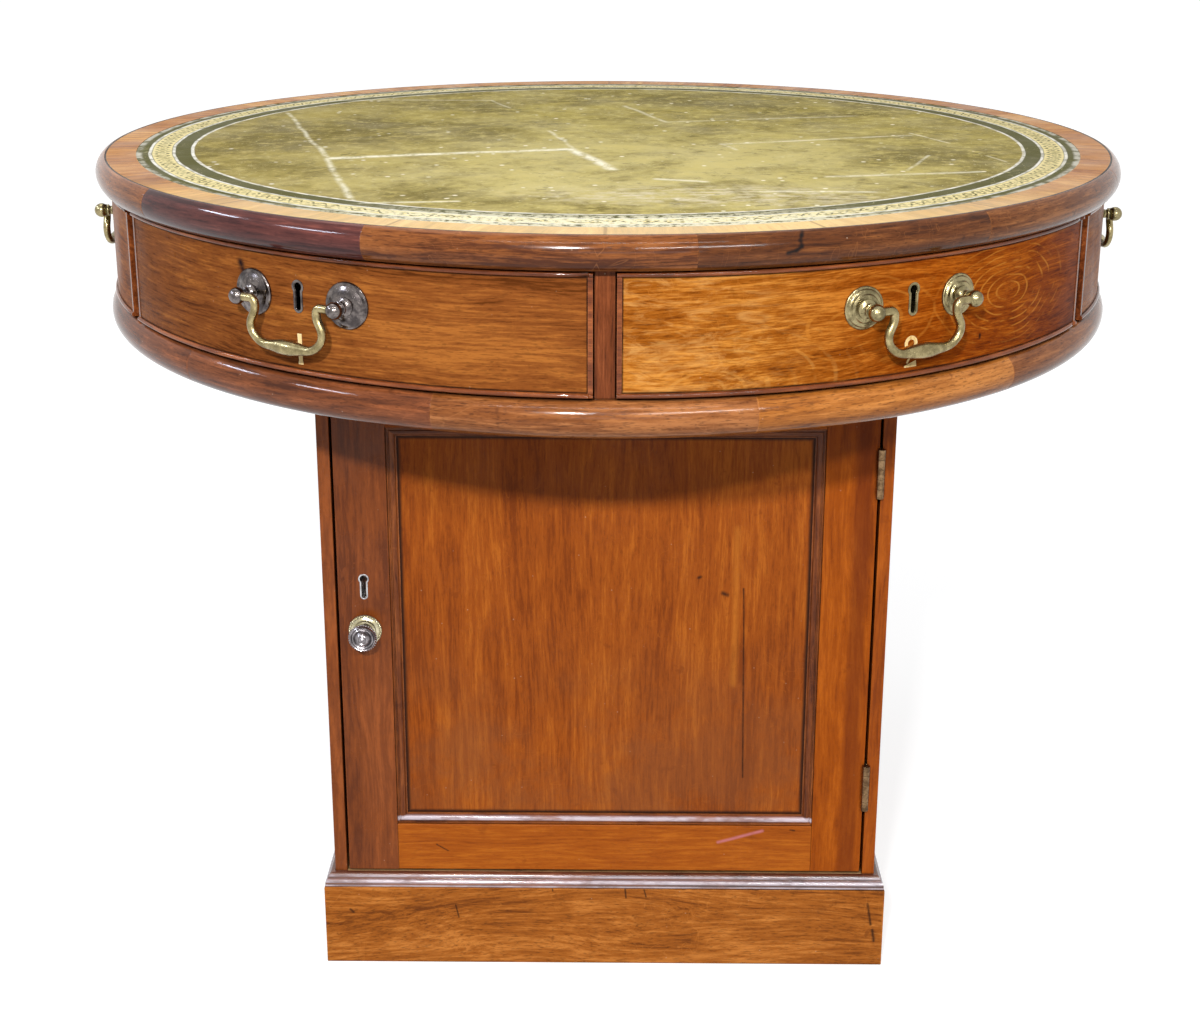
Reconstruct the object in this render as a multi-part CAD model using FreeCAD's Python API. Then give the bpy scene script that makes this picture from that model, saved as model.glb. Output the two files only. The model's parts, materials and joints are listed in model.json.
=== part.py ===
"""Revolving drum-top desk: a round leather-lined top over six wedge drawers,
turning on a square pedestal cupboard with one panelled door.
Millimetres, +Z up, origin on the floor under the middle, door facing -Y."""
import FreeCAD, Part
import math
import os

Vector = FreeCAD.Vector
UP = Vector(0, 0, 1)

# Overall sizes
top_radius = 510.0
desk_height = 790.0
drawer_count = 6

# Drum: the revolving top with its frieze of drawers
top_thickness = 28.0
frieze_height = 105.0
base_moulding_height = 32.0
edge_moulding_width = 9.0
stringing_width = 1.6
crossband_width = 28.0
veneer_thickness = 2.0
leather_sink = 0.4
edge_moulding_undercut = 7.0
moulding_segments = 12
edge_joint_angle = 8.0
base_joint_angle = 14.0
edge_flat = 1.0
base_moulding_inset = 6.0
base_moulding_width = 20.0
base_moulding_bulge = 10.0
drawer_face_inset = 13.0
glue_line = 0.05
stile_width = 16.5
stile_depth = 34.0
stile_recess = 5.0
divider_thickness = 12.0
core_apothem = 60.0

# Swivel between drum and pedestal
drum_lift = 3.0
swivel_plate_thickness = 1.4
swivel_plate_radius = 120.0
spindle_radius = 15.0
running_clearance = 0.05
bush_wall = 6.0
spindle_flange_radius = 45.0
spindle_flange_thickness = 6.0
spindle_rise = 30.0
nut_height = 14.0
nut_across_flats = 40.0
nut_room = 4.0
rest_gap = 0.3

# Drawers
drawer_side_gap = 1.0
drawer_gap = 2.0
bead_width = 4.0
bead_proud = 2.5
bead_depth = 12.0
front_thickness = 22.0
box_wall = 9.0
box_bottom_thickness = 6.0
box_side_height = 82.0
box_clearance = 1.5
box_back_distance = 125.0
runner_width = 20.0
runner_height = 6.5
runner_clearance = 0.5
guide_width = 12.0
bottom_clearance = 0.8

# Drawer handles, locks and keyholes
handle_spacing = 100.0
handle_drop = 34.0
handle_standoff = 19.0
rose_radius = 19.0
rose_thickness = 5.0
post_radius = 4.2
post_ball_radius = 6.8
shank_radius = 3.0
shank_clearance = 0.1
shank_nut_radius = 6.0
shank_nut_height = 4.0
bail_wire_radius = 3.2
bail_pin_radius = 2.3
bail_pin_reach = 3.0
bail_neck_inset = 18.0
bail_waist_inset = 18.5
bail_shoulder_inset = 10.5
bail_corner_inset = 22.5
bail_waist_drop = 9.0
bail_shoulder_drop = 24.0
bail_depth = 37.0
bail_swell_radius = 5.2
bail_grip_half = 18.0
bail_bends = (4.0, 9.0, 9.0, 9.0)
keyhole_bore = 3.6
keyhole_slot = 4.6
keyhole_height = 23.0
keyhole_rim = 1.4
keyhole_drop = 24.0
lock_width = 62.0
lock_height = 46.0
lock_thickness = 8.0

# Pedestal cupboard
pedestal_width = 536.0
carcass_side_thickness = 12.0
carcass_back_thickness = 12.0
carcass_floor_thickness = 13.0
carcass_top_thickness = 18.0
shelf_rise = 232.0
shelf_thickness = 16.0
shelf_housing = 5.0
shelf_setback = 30.0
plinth_height = 85.0
plinth_proud = 10.0
plinth_thickness = 22.0
plinth_moulding_height = 13.0
plinth_moulding_width = 9.0

# Door
door_gap = 2.6
door_end_gap = 2.0
door_thickness = 20.0
door_stile_width = 49.0
door_bottom_rail_width = 50.0
door_top_rail_width = 41.0
door_tongue = 8.0
tenon_shoulder = 10.0
door_panel_thickness = 8.0
door_panel_recess = 7.0
panel_moulding_width = 10.0
panel_moulding_rise = 5.0
hinge_length = 48.0
hinge_leaf_thickness = 1.15
hinge_leaf_depth = 16.0
hinge_barrel_radius = 3.6
hinge_pin_radius = 1.6
hinge_foot_inset = 95.0
hinge_head_inset = 82.5
knuckle_gap = 0.3
knob_drop = 244.0
knob_radius = 15.5
knob_reach = 27.0
knob_shank_length = 14.0
backplate_radius = 18.0
backplate_thickness = 2.4
door_keyhole_drop = 191.5
door_lock_width = 44.0
door_lock_height = 60.0
bolt_height = 14.0
bolt_thickness = 5.0
bolt_length = 34.0
bolt_throw = 9.0
bolt_clearance = 0.4

# Levels and radii that follow from the sizes above
top_underside = desk_height - top_thickness
frieze_bottom = top_underside - frieze_height
drum_bottom = frieze_bottom - base_moulding_height
pedestal_top = drum_bottom - drum_lift
band_radius = top_radius - edge_moulding_width
leather_radius = band_radius - stringing_width - crossband_width
face_radius = top_radius - drawer_face_inset
base_radius = top_radius - base_moulding_inset
base_board_radius = base_radius - base_moulding_width
drawer_pitch = 360.0 / drawer_count
half_pitch = math.radians(drawer_pitch / 2)
carcass_half = pedestal_width / 2
opening_half = carcass_half - carcass_side_thickness
carcass_floor_top = plinth_height + carcass_floor_thickness
carcass_ceiling = pedestal_top - carcass_top_thickness
shelf_level = carcass_floor_top + shelf_rise
door_bottom = carcass_floor_top + door_end_gap
door_top = carcass_ceiling - door_end_gap
knob_level = door_top - knob_drop
door_keyhole_level = door_top - door_keyhole_drop
hinge_heights = (door_bottom + hinge_foot_inset, door_top - hinge_head_inset)


def box(x0, x1, y0, y1, z0, z1):
    """A block between two corners."""
    return Part.makeBox(x1 - x0, y1 - y0, z1 - z0, Vector(x0, y0, z0))


def disc(radius, z0, z1):
    """An upright cylinder about the swivel axis."""
    return Part.makeCylinder(radius, z1 - z0, Vector(0, 0, z0))


def ring(inner, outer, z0, z1):
    """A flat-sided ring about the swivel axis."""
    return disc(outer, z0, z1).cut(disc(inner, z0 - 1, z1 + 1))


def prism(points, z0, z1):
    """An upright prism over a plan outline."""
    corners = [Vector(x, y, z0) for x, y in points]
    outline = Part.makePolygon(corners + corners[:1])
    return Part.Face(outline).extrude(Vector(0, 0, z1 - z0))


def turned(shape, degrees):
    """A copy turned about the swivel axis."""
    copy = shape.copy()
    copy.rotate(Vector(0, 0, 0), UP, degrees)
    return copy


def moved(shape, x, y, z):
    """A copy shifted by an offset."""
    copy = shape.copy()
    copy.translate(Vector(x, y, z))
    return copy


def mirrored(shape):
    """A copy mirrored from left to right."""
    return shape.mirror(Vector(0, 0, 0), Vector(1, 0, 0))


def lathe(edges):
    """A solid turned about the Z axis from a closed profile in the XZ plane."""
    return Part.Face(Part.Wire(edges)).revolve(Vector(0, 0, 0), UP, 360)


def line(start, end):
    return Part.makeLine(start, end)


def arc(start, middle, end):
    return Part.Arc(start, middle, end).toShape()


def polyline(points):
    """Straight edges through points in order."""
    return [line(first, second) for first, second in zip(points, points[1:])]


def save(node, *solids):
    """Write one node; its separate pieces stay separate solids."""
    pieces = [solid for shape in solids for solid in shape.Solids]
    Part.makeCompound(pieces).exportStep("parts/" + node + ".step")


os.makedirs("parts", exist_ok=True)


# Pedestal: plinth, carcass and shelf
def quarter_wedge(z0, z1):
    """The front quarter of the plan, whose slanting sides are the mitres."""
    reach = pedestal_width + plinth_proud
    return prism([(0, 0), (-reach, -reach), (reach, -reach)], z0, z1)


def four_sides(front_piece):
    """A mitred frame: the front piece repeated on all four sides."""
    wedge = quarter_wedge(0, desk_height)
    side = front_piece.common(wedge)
    return [turned(side, 90 * quarter) for quarter in range(4)]


plinth_half = carcass_half + plinth_proud
plinth_board = box(-plinth_half, plinth_half, -plinth_half, plinth_thickness - plinth_half, 0, plinth_height)
save("plinth_boards", *four_sides(plinth_board))


def plinth_moulding_front():
    """Two stacked quarter-round reeds on a flat foot."""
    foot = plinth_moulding_height * 0.2
    reed = (plinth_moulding_height - foot) / 2
    step = plinth_moulding_width / 3
    bulge = math.sqrt(0.5)

    def point(out, rise):
        return Vector(-plinth_half, -carcass_half - out, plinth_height + rise)

    def reed_edge(out, rise):
        middle = point(out - step + step * bulge, rise + reed * bulge)
        return arc(point(out, rise), middle, point(out - step, rise + reed))

    width = plinth_moulding_width
    edges = polyline([point(0, plinth_moulding_height), point(0, 0), point(width, 0), point(width, foot)])
    edges.append(reed_edge(width, foot))
    edges.append(reed_edge(width - step, foot + reed))
    edges.append(line(point(width - 2 * step, foot + 2 * reed), point(0, plinth_moulding_height)))
    return Part.Face(Part.Wire(edges)).extrude(Vector(2 * plinth_half, 0, 0))


save("plinth_moulding", *four_sides(plinth_moulding_front()))

# The lock bolt lies behind the lock stile, and shoots into a mortise in the left side
door_face = -carcass_half
door_back = door_face + door_thickness
bolt_front = door_back + (lock_thickness - bolt_thickness) / 2
bolt_level = door_keyhole_level
mortise = box(
    -opening_half - bolt_throw - bolt_clearance, -opening_half,
    bolt_front - bolt_clearance, bolt_front + bolt_thickness + bolt_clearance,
    bolt_level - bolt_height / 2 - bolt_clearance, bolt_level + bolt_height / 2 + bolt_clearance)

carcass_side = box(opening_half, carcass_half, -carcass_half, carcass_half, plinth_height, pedestal_top)
shelf_front = door_back + shelf_setback
shelf_back = carcass_half - carcass_back_thickness
shelf_half = opening_half + shelf_housing
shelf = box(-shelf_half, shelf_half, shelf_front, shelf_back, shelf_level, shelf_level + shelf_thickness)
right_side = carcass_side.cut(shelf)
save("carcass_right_side", right_side)
save("carcass_left_side", mirrored(carcass_side).cut(shelf).cut(mortise))
save("cupboard_shelf", shelf)
save("carcass_back", box(-opening_half, opening_half, shelf_back, carcass_half, plinth_height, pedestal_top))
save("carcass_floor", box(
    -opening_half, opening_half, -carcass_half, shelf_back, plinth_height, carcass_floor_top))

# Swivel: an iron spindle up through the carcass top, and a pair of friction plates
spindle_hole_radius = spindle_radius + shank_clearance
carcass_top = box(-opening_half, opening_half, -carcass_half, shelf_back, carcass_ceiling, pedestal_top)
save("carcass_top", carcass_top.cut(disc(spindle_hole_radius, carcass_ceiling - 1, pedestal_top + 1)))
spindle_foot = carcass_ceiling - spindle_flange_thickness
spindle_head = frieze_bottom + spindle_rise
spindle = disc(spindle_flange_radius, spindle_foot, carcass_ceiling)
spindle = spindle.fuse(disc(spindle_radius, spindle_foot, spindle_head)).removeSplitter()
save("swivel_spindle", spindle)
save("lower_swivel_plate", ring(
    spindle_hole_radius, swivel_plate_radius, pedestal_top, pedestal_top + swivel_plate_thickness))
bush_radius = spindle_radius + running_clearance + bush_wall
save("upper_swivel_plate", ring(
    bush_radius, swivel_plate_radius, drum_bottom - swivel_plate_thickness, drum_bottom))
save("spindle_bush", ring(
    spindle_radius + running_clearance, bush_radius - glue_line, drum_bottom, frieze_bottom))


def hexagon(apothem, first_face):
    """Plan corners of a hexagon with one flat facing the given angle."""
    corner = apothem / math.cos(math.pi / 6)
    angles = [math.radians(first_face + 30 + 60 * index) for index in range(6)]
    return [(corner * math.cos(angle), corner * math.sin(angle)) for angle in angles]


nut_bottom = frieze_bottom + rest_gap
spindle_nut = prism(hexagon(nut_across_flats / 2, 0), nut_bottom, nut_bottom + nut_height)
nut_bore = disc(spindle_radius + glue_line, nut_bottom, nut_bottom + nut_height)
save("spindle_nut", spindle_nut.cut(nut_bore))


# Door: framed panel, mouldings and hardware
door_half = opening_half - door_gap
panel_half = door_half - door_stile_width
panel_bottom = door_bottom + door_bottom_rail_width
panel_top = door_top - door_top_rail_width
panel_face = door_face + door_panel_recess
panel_back = panel_face + door_panel_thickness
lock_x = -door_half + door_stile_width / 2


def facing_front(shape, x, y, z):
    """A shape turned about Z, laid over so that its axis points out of the front."""
    copy = shape.copy()
    copy.rotate(Vector(0, 0, 0), Vector(1, 0, 0), 90)
    return moved(copy, x, y, z)


def keyhole(grow, depth):
    """A keyhole plug along +Y: a round bore over a round-ended slot."""
    slot_half = keyhole_slot / 2 + grow
    slot_foot = keyhole_bore + keyhole_slot / 2 - keyhole_height
    along = Vector(0, 1, 0)
    bore = Part.makeCylinder(keyhole_bore + grow, depth, Vector(0, 0, 0), along)
    foot = Part.makeCylinder(slot_half, depth, Vector(0, 0, slot_foot), along)
    return bore.fuse([foot, box(-slot_half, slot_half, 0, depth, slot_foot, 0)]).removeSplitter()


def keyhole_lining(depth):
    """The brass lining that sits in a keyhole."""
    return keyhole(keyhole_rim, depth).cut(keyhole(0, depth))


shank_hole = Part.makeCylinder(
    shank_radius + shank_clearance, knob_shank_length, Vector(lock_x, door_face, knob_level), Vector(0, 1, 0))
groove_bottom = door_bottom + tenon_shoulder
groove_top = door_top - tenon_shoulder
tongue_half = panel_half + door_tongue
tongue_plate = box(-tongue_half, tongue_half, panel_face, panel_back, groove_bottom, groove_top)
right_stile = box(panel_half, door_half, door_face, door_back, door_bottom, door_top).cut(tongue_plate)
keyway = moved(keyhole(keyhole_rim + glue_line, door_thickness), lock_x, door_face, door_keyhole_level)
left_stile = mirrored(right_stile).cut(keyway).cut(shank_hole)
save("door_stiles", left_stile, right_stile)

panel = box(
    -tongue_half, tongue_half, panel_face, panel_back, panel_bottom - door_tongue, panel_top + door_tongue)


def door_rail(z0, z1, tenon_bottom, tenon_top):
    """A rail with stub tenons in the stile grooves and a groove for the panel."""
    rail = box(-panel_half, panel_half, door_face, door_back, z0, z1)
    tenon = box(-tongue_half, tongue_half, panel_face, panel_back, tenon_bottom, tenon_top)
    return rail.fuse(tenon).removeSplitter().cut(panel)


bottom_rail = door_rail(door_bottom, panel_bottom, groove_bottom, panel_bottom)
top_rail = door_rail(panel_top, door_top, panel_top, groove_top)
save("door_rails", bottom_rail, top_rail)
save("door_panel", panel)


def moulding_strip(length):
    """One mitred strip of panel moulding, centred, standing on its frame edge."""
    width = panel_moulding_width
    rise = panel_moulding_rise
    half = length / 2
    flat = width * 0.3
    lip = rise * 0.2

    def point(out, up):
        return Vector(-half, -out, up)

    bend = point(rise - (rise - lip) * 0.25, flat + (width - flat) * 0.6)
    edges = polyline([point(lip, width), point(0, width), point(0, 0), point(rise, 0), point(rise, flat)])
    edges.append(arc(point(rise, flat), bend, point(lip, width)))
    strip = Part.Face(Part.Wire(edges)).extrude(Vector(length, 0, 0))
    corners = [(-half, 0), (half, 0), (half - width, width), (width - half, width)]
    mitre = prism(corners, 0, rise)
    mitre.rotate(Vector(0, 0, 0), Vector(1, 0, 0), 90)
    return strip.common(mitre)


def placed_strip(length, turn, x, z):
    """A strip turned in the plane of the door and set on the panel's face."""
    strip = moulding_strip(length)
    strip.rotate(Vector(0, 0, 0), Vector(0, 1, 0), turn)
    return moved(strip, x, panel_face, z)


panel_middle = (panel_bottom + panel_top) / 2
panel_height = panel_top - panel_bottom
save("door_panel_moulding",
     placed_strip(2 * panel_half, 0, 0, panel_bottom),
     placed_strip(2 * panel_half, 180, 0, panel_top),
     placed_strip(panel_height, 90, -panel_half, panel_middle),
     placed_strip(panel_height, -90, panel_half, panel_middle))

save("door_escutcheon", moved(keyhole_lining(door_thickness), lock_x, door_face, door_keyhole_level))


def knob_profile():
    """A turned knob: shank, waisted neck, round head with a raised boss."""
    start = backplate_thickness
    neck = knob_radius * 0.45
    boss = knob_radius * 0.5
    head_bottom = knob_reach * 0.5
    rim_level = knob_reach * 0.72
    shank_end = rest_gap - knob_shank_length

    def point(radius, level):
        return Vector(radius, 0, level)

    edges = polyline([
        point(0, knob_reach), point(0, shank_end), point(shank_radius, shank_end),
        point(shank_radius, start), point(neck * 1.4, start)])
    edges.append(arc(point(neck * 1.4, start), point(neck, start + 4), point(knob_radius * 0.8, head_bottom)))
    edges.append(arc(point(knob_radius * 0.8, head_bottom), point(knob_radius, (head_bottom + rim_level) / 2),
                     point(knob_radius * 0.9, rim_level)))
    edges += polyline([
        point(knob_radius * 0.9, rim_level), point(boss, rim_level + 1.5), point(boss, rim_level + 3)])
    crown = boss * 0.5
    crown_bend = point(boss * 0.85, knob_reach - 1.2)
    edges.append(arc(point(boss, rim_level + 3), crown_bend, point(crown, knob_reach)))
    edges.append(line(point(crown, knob_reach), point(0, knob_reach)))
    return edges


save("door_knob", facing_front(lathe(knob_profile()), lock_x, door_face, knob_level))


def backplate_profile():
    """A round plate with a roped rim, bored for the knob's shank."""
    hole = shank_radius + shank_clearance
    rim = backplate_radius - backplate_thickness

    def point(radius, level):
        return Vector(radius, 0, level)

    thick = backplate_thickness
    edges = polyline([
        point(rim, thick), point(hole, thick), point(hole, 0), point(backplate_radius, 0)])
    edges.append(arc(point(backplate_radius, 0),
                     point(backplate_radius - thick * 0.3, thick * 0.7), point(rim, thick)))
    return edges


save("knob_backplate", facing_front(lathe(backplate_profile()), lock_x, door_face, knob_level))

lock_left = -door_half
lock_back = door_back + lock_thickness
lock_case = box(
    lock_left, lock_left + door_lock_width, door_back, lock_back,
    bolt_level - door_lock_height / 2, bolt_level + door_lock_height / 2)
bolt_left = lock_left + rest_gap
door_bolt = box(
    bolt_left, bolt_left + bolt_length, bolt_front, bolt_front + bolt_thickness,
    bolt_level - bolt_height / 2, bolt_level + bolt_height / 2)
bolt_channel = box(
    lock_left, bolt_left + bolt_length + rest_gap,
    bolt_front - rest_gap, bolt_front + bolt_thickness + rest_gap,
    bolt_level - bolt_height / 2 - rest_gap, bolt_level + bolt_height / 2 + rest_gap)
save("door_lock", lock_case.cut(bolt_channel))
save("door_bolt", door_bolt)

# Hinges: five knuckles each, three on the carcass leaf and two on the door leaf
hinge_x = opening_half - door_gap / 2
hinge_y = door_face - hinge_barrel_radius - rest_gap
knuckle_count = 5
knuckle_pitch = hinge_length / knuckle_count


def hinge_leaf(level, leaf_x, knuckles, bore_clearance):
    """A leaf in the door gap with its share of the knuckles."""
    bottom = level - hinge_length / 2
    leaf = box(leaf_x, leaf_x + hinge_leaf_thickness, door_face, door_face + hinge_leaf_depth,
               bottom, bottom + hinge_length)
    for index in knuckles:
        z0 = bottom + knuckle_pitch * index + knuckle_gap / 2
        z1 = z0 + knuckle_pitch - knuckle_gap
        barrel = Part.makeCylinder(hinge_barrel_radius, z1 - z0, Vector(hinge_x, hinge_y, z0))
        tab = box(leaf_x, leaf_x + hinge_leaf_thickness, hinge_y, door_face, z0, z1)
        leaf = leaf.fuse([barrel, tab])
    bore = Part.makeCylinder(
        hinge_pin_radius + bore_clearance, hinge_length, Vector(hinge_x, hinge_y, bottom))
    return leaf.removeSplitter().cut(bore)


def hinge_pin(level):
    foot = Vector(hinge_x, hinge_y, level - hinge_length / 2)
    return Part.makeCylinder(hinge_pin_radius, hinge_length, foot)


carcass_leaf_x = opening_half - hinge_leaf_thickness
door_leaf_x = door_half
save("fixed_hinge_leaves", *[
    hinge_leaf(level, carcass_leaf_x, range(0, knuckle_count, 2), glue_line) for level in hinge_heights])
save("moving_hinge_leaves", *[
    hinge_leaf(level, door_leaf_x, range(1, knuckle_count, 2), running_clearance) for level in hinge_heights])
save("hinge_pins", *[hinge_pin(level) for level in hinge_heights])

# Drum: leather-lined top, frieze, base and the swivel bearing around the spindle
veneer_level = desk_height - veneer_thickness
board_radius = band_radius - glue_line
save("top_board", disc(board_radius, top_underside, veneer_level))
save("leather_inset", disc(leather_radius, veneer_level, desk_height - leather_sink))
stringing_inner = board_radius - stringing_width
save("crossband", ring(leather_radius + glue_line, stringing_inner - glue_line, veneer_level, desk_height))
save("stringing", ring(stringing_inner, board_radius, veneer_level, desk_height))


def ring_segments(profile, joint_angle):
    """A moulded ring about the swivel axis, in equal segments; one joint lies this far round from the front."""
    face = Part.Face(Part.Wire(profile))
    pitch = 360.0 / moulding_segments
    segment = face.revolve(Vector(0, 0, 0), UP, pitch)
    return [turned(segment, joint_angle - 90 + pitch * index) for index in range(moulding_segments)]


def section_point(radius, level):
    return Vector(radius, 0, level)


def edge_moulding_profile():
    """A bullnose lipping, tucked under at its foot."""
    nose_start = section_point(band_radius + edge_flat, desk_height)
    nose = section_point(top_radius, desk_height - top_thickness * 0.45)
    foot = section_point(top_radius - edge_moulding_undercut, top_underside)
    inner_foot = section_point(band_radius, top_underside)
    inner_head = section_point(band_radius, desk_height)
    return [arc(nose_start, nose, foot)] + polyline([foot, inner_foot, inner_head, nose_start])


def base_moulding_profile():
    """A half-round torus under the drawers."""
    shoulder = base_radius - base_moulding_bulge
    head = section_point(shoulder, frieze_bottom)
    nose = section_point(base_radius, (frieze_bottom + drum_bottom) / 2)
    foot = section_point(shoulder, drum_bottom)
    inner_foot = section_point(base_board_radius, drum_bottom)
    inner_head = section_point(base_board_radius, frieze_bottom)
    return [arc(head, nose, foot)] + polyline([foot, inner_foot, inner_head, head])


save("edge_moulding", *ring_segments(edge_moulding_profile(), edge_joint_angle))
save("base_moulding", *ring_segments(base_moulding_profile(), base_joint_angle))
save("drum_base", ring(bush_radius, base_board_radius - glue_line, drum_bottom, frieze_bottom))

front_angles = [drawer_pitch * index - drawer_pitch / 2 for index in range(drawer_count)]
stile_angles = [drawer_pitch * index for index in range(drawer_count)]
stile_face_radius = face_radius - stile_recess
stile_back = stile_face_radius - stile_depth
stile = box(-stile_width / 2, stile_width / 2, -face_radius, -stile_back, frieze_bottom, top_underside)
stile = stile.common(disc(stile_face_radius, frieze_bottom, top_underside))
divider_half = divider_thickness / 2
divider = box(-divider_half, divider_half, -stile_back, -core_apothem, frieze_bottom, top_underside)
save("frieze_stiles", *[turned(stile, angle) for angle in stile_angles])
save("drum_dividers", *[turned(divider, angle) for angle in stile_angles])
core_points = [
    (core_apothem / math.cos(half_pitch) * math.sin(math.radians(angle)),
     -core_apothem / math.cos(half_pitch) * math.cos(math.radians(angle))) for angle in front_angles]
nut_corner = nut_across_flats / 2 / math.cos(math.pi / 6)
core = prism(core_points, frieze_bottom, top_underside)
save("drum_core", core.cut(disc(nut_corner + nut_room, frieze_bottom, top_underside)))

# Drawers, built facing -Y and then turned to their places
front_inner_radius = face_radius - front_thickness
rebate_radius = face_radius - bead_depth
drawer_bottom = frieze_bottom + drawer_gap
drawer_top = top_underside - drawer_gap
field_bottom = drawer_bottom + bead_width
field_top = drawer_top - bead_width
front_offset = stile_width / 2 + drawer_side_gap
box_offset = max(divider_thickness, stile_width) / 2 + box_clearance
runner_start = core_apothem / math.cos(half_pitch) + rest_gap
runner_end = front_inner_radius - box_wall
save("drawer_runners", *[
    turned(box(-runner_width / 2, runner_width / 2, -runner_end, -runner_start,
               frieze_bottom, frieze_bottom + runner_height), angle) for angle in front_angles])


def wedge(offset, z0, z1):
    """The plan of one drawer's share of the drum, its sides drawn in by an offset."""
    apex = offset / math.sin(half_pitch)
    reach = 2 * top_radius
    half = (reach - apex) * math.tan(half_pitch)
    return prism([(0, -apex), (-half, -reach), (half, -reach)], z0, z1)


handle_half = handle_spacing / 2
handle_level = field_top - handle_drop
keyhole_level = field_top - keyhole_drop
ball_radius_out = face_radius + handle_standoff
post_angle = math.degrees(math.asin(handle_half / ball_radius_out))
bail_y = -math.sqrt(ball_radius_out ** 2 - handle_half ** 2)
shank_length = front_thickness + rest_gap + shank_nut_height


def on_face(shape, side):
    """A fitting turned about Z, laid on the drawer face at one handle post."""
    fitting = facing_front(shape, 0, -face_radius, handle_level)
    return turned(fitting, side * post_angle)


def drawer_front():
    """The curved front board, rebated for its bead and bored for its fittings."""
    back = ring(front_inner_radius, rebate_radius, drawer_bottom, drawer_top)
    back = back.common(wedge(front_offset, drawer_bottom, drawer_top))
    field = ring(front_inner_radius, face_radius, field_bottom, field_top)
    field = field.common(wedge(front_offset + bead_width, field_bottom, field_top))
    board = back.fuse(field).removeSplitter()
    hole_foot = Vector(0, 0, -1.5 * front_thickness)
    hole = Part.makeCylinder(shank_radius + shank_clearance, 2 * front_thickness, hole_foot)
    plug = keyhole(keyhole_rim + glue_line, 2 * front_thickness)
    plug = moved(plug, 0, -face_radius - front_thickness / 2, keyhole_level)
    return board.cut([on_face(hole, -1), on_face(hole, 1), plug])


def cock_bead():
    """The proud round-nosed bead around the front."""
    inner = rebate_radius + glue_line
    nose_radius = bead_width / 2
    nose = face_radius + bead_proud
    shoulder = nose - nose_radius

    def strip(z0):
        z1 = z0 + bead_width
        tip = section_point(nose, z0 + nose_radius)
        edges = [arc(section_point(shoulder, z1), tip, section_point(shoulder, z0))]
        edges += polyline([section_point(shoulder, z0), section_point(inner, z0),
                           section_point(inner, z1), section_point(shoulder, z1)])
        return lathe(edges).common(wedge(front_offset, drawer_bottom, drawer_top))

    ends = ring(inner, shoulder, drawer_bottom, drawer_top)
    ends = ends.common(wedge(front_offset, drawer_bottom, drawer_top))
    ends = ends.cut(wedge(front_offset + bead_width, drawer_bottom, drawer_top))
    middle = front_offset + nose_radius
    along = math.sqrt(shoulder ** 2 - middle ** 2)
    nose_x = along * math.sin(half_pitch) - middle * math.cos(half_pitch)
    nose_y = -along * math.cos(half_pitch) - middle * math.sin(half_pitch)
    height = drawer_top - drawer_bottom
    noses = [
        Part.makeCylinder(nose_radius, height, Vector(side * nose_x, nose_y, drawer_bottom))
        for side in (-1, 1)]
    bead = strip(drawer_bottom)
    for piece in [strip(field_top), ends] + noses:
        bead = bead.fuse(piece)
    return bead.removeSplitter()


def drawer_box():
    """Two sides, a back, a bottom and a pair of guides that run beside the centre runner."""
    side_foot = frieze_bottom + bottom_clearance
    side_head = side_foot + box_side_height
    bottom_level = frieze_bottom + runner_height + runner_clearance
    bottom_top = bottom_level + box_bottom_thickness
    front_limit = front_inner_radius - glue_line
    inner_back = box_back_distance + box_wall

    def behind_front(offset, distance, z0, z1):
        region = wedge(offset, z0, z1).common(disc(front_limit, z0, z1))
        return region.common(box(-top_radius, top_radius, -top_radius, -distance, z0, z1))

    sides = behind_front(box_offset, box_back_distance, side_foot, side_head)
    sides = sides.cut(wedge(box_offset + box_wall, side_foot, side_head))
    back = behind_front(box_offset + box_wall, box_back_distance, bottom_level, side_head)
    back = back.cut(box(-top_radius, top_radius, -top_radius, -inner_back, bottom_level, side_head))
    bottom = behind_front(box_offset + box_wall, inner_back, bottom_level, bottom_top)
    guide_inner = runner_width / 2 + runner_clearance
    guide = box(guide_inner, guide_inner + guide_width, -runner_end, -inner_back, side_foot, bottom_level)
    return [sides, back, bottom, guide, mirrored(guide)]


def post(side):
    """A handle post: shank through the front, neck, and a ball bored for the bail's pin."""
    shank = Part.makeCylinder(shank_radius, shank_length, Vector(0, 0, -shank_length))
    neck = Part.makeCylinder(post_radius, handle_standoff)
    ball = Part.makeSphere(post_ball_radius, Vector(0, 0, handle_standoff))
    whole = on_face(shank.fuse([neck, ball]).removeSplitter(), side)
    whole = whole.cut(disc(face_radius, handle_level - post_radius, handle_level + post_radius).cut(
        on_face(Part.makeCylinder(shank_radius, 2 * shank_length, Vector(0, 0, -1.5 * shank_length)), side)))
    bore_start = Vector(side * (handle_half - 2 * post_ball_radius), bail_y, handle_level)
    bore_length = 2 * post_ball_radius + bail_pin_reach + rest_gap
    bore = Part.makeCylinder(bail_pin_radius + running_clearance, bore_length, bore_start, Vector(side, 0, 0))
    return whole.cut(bore)


def rose(side):
    """A stepped round rose between the post and the drawer face."""
    hole = post_radius + shank_clearance
    rim = rose_thickness * 0.3
    dome = rose_radius * 0.75
    crown = rose_radius * 0.4
    foot = -rose_thickness
    edges = [arc(section_point(dome, rim), section_point(dome * 0.8, rose_thickness * 0.75),
                 section_point(crown, rose_thickness))]
    edges += polyline([
        section_point(crown, rose_thickness), section_point(hole, rose_thickness), section_point(hole, foot),
        section_point(rose_radius, foot), section_point(rose_radius, rim * 0.6),
        section_point(rose_radius - rim * 0.4, rim), section_point(dome, rim)])
    return on_face(lathe(edges), side).cut(
        disc(face_radius + glue_line, handle_level - rose_radius, handle_level + rose_radius))


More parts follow.
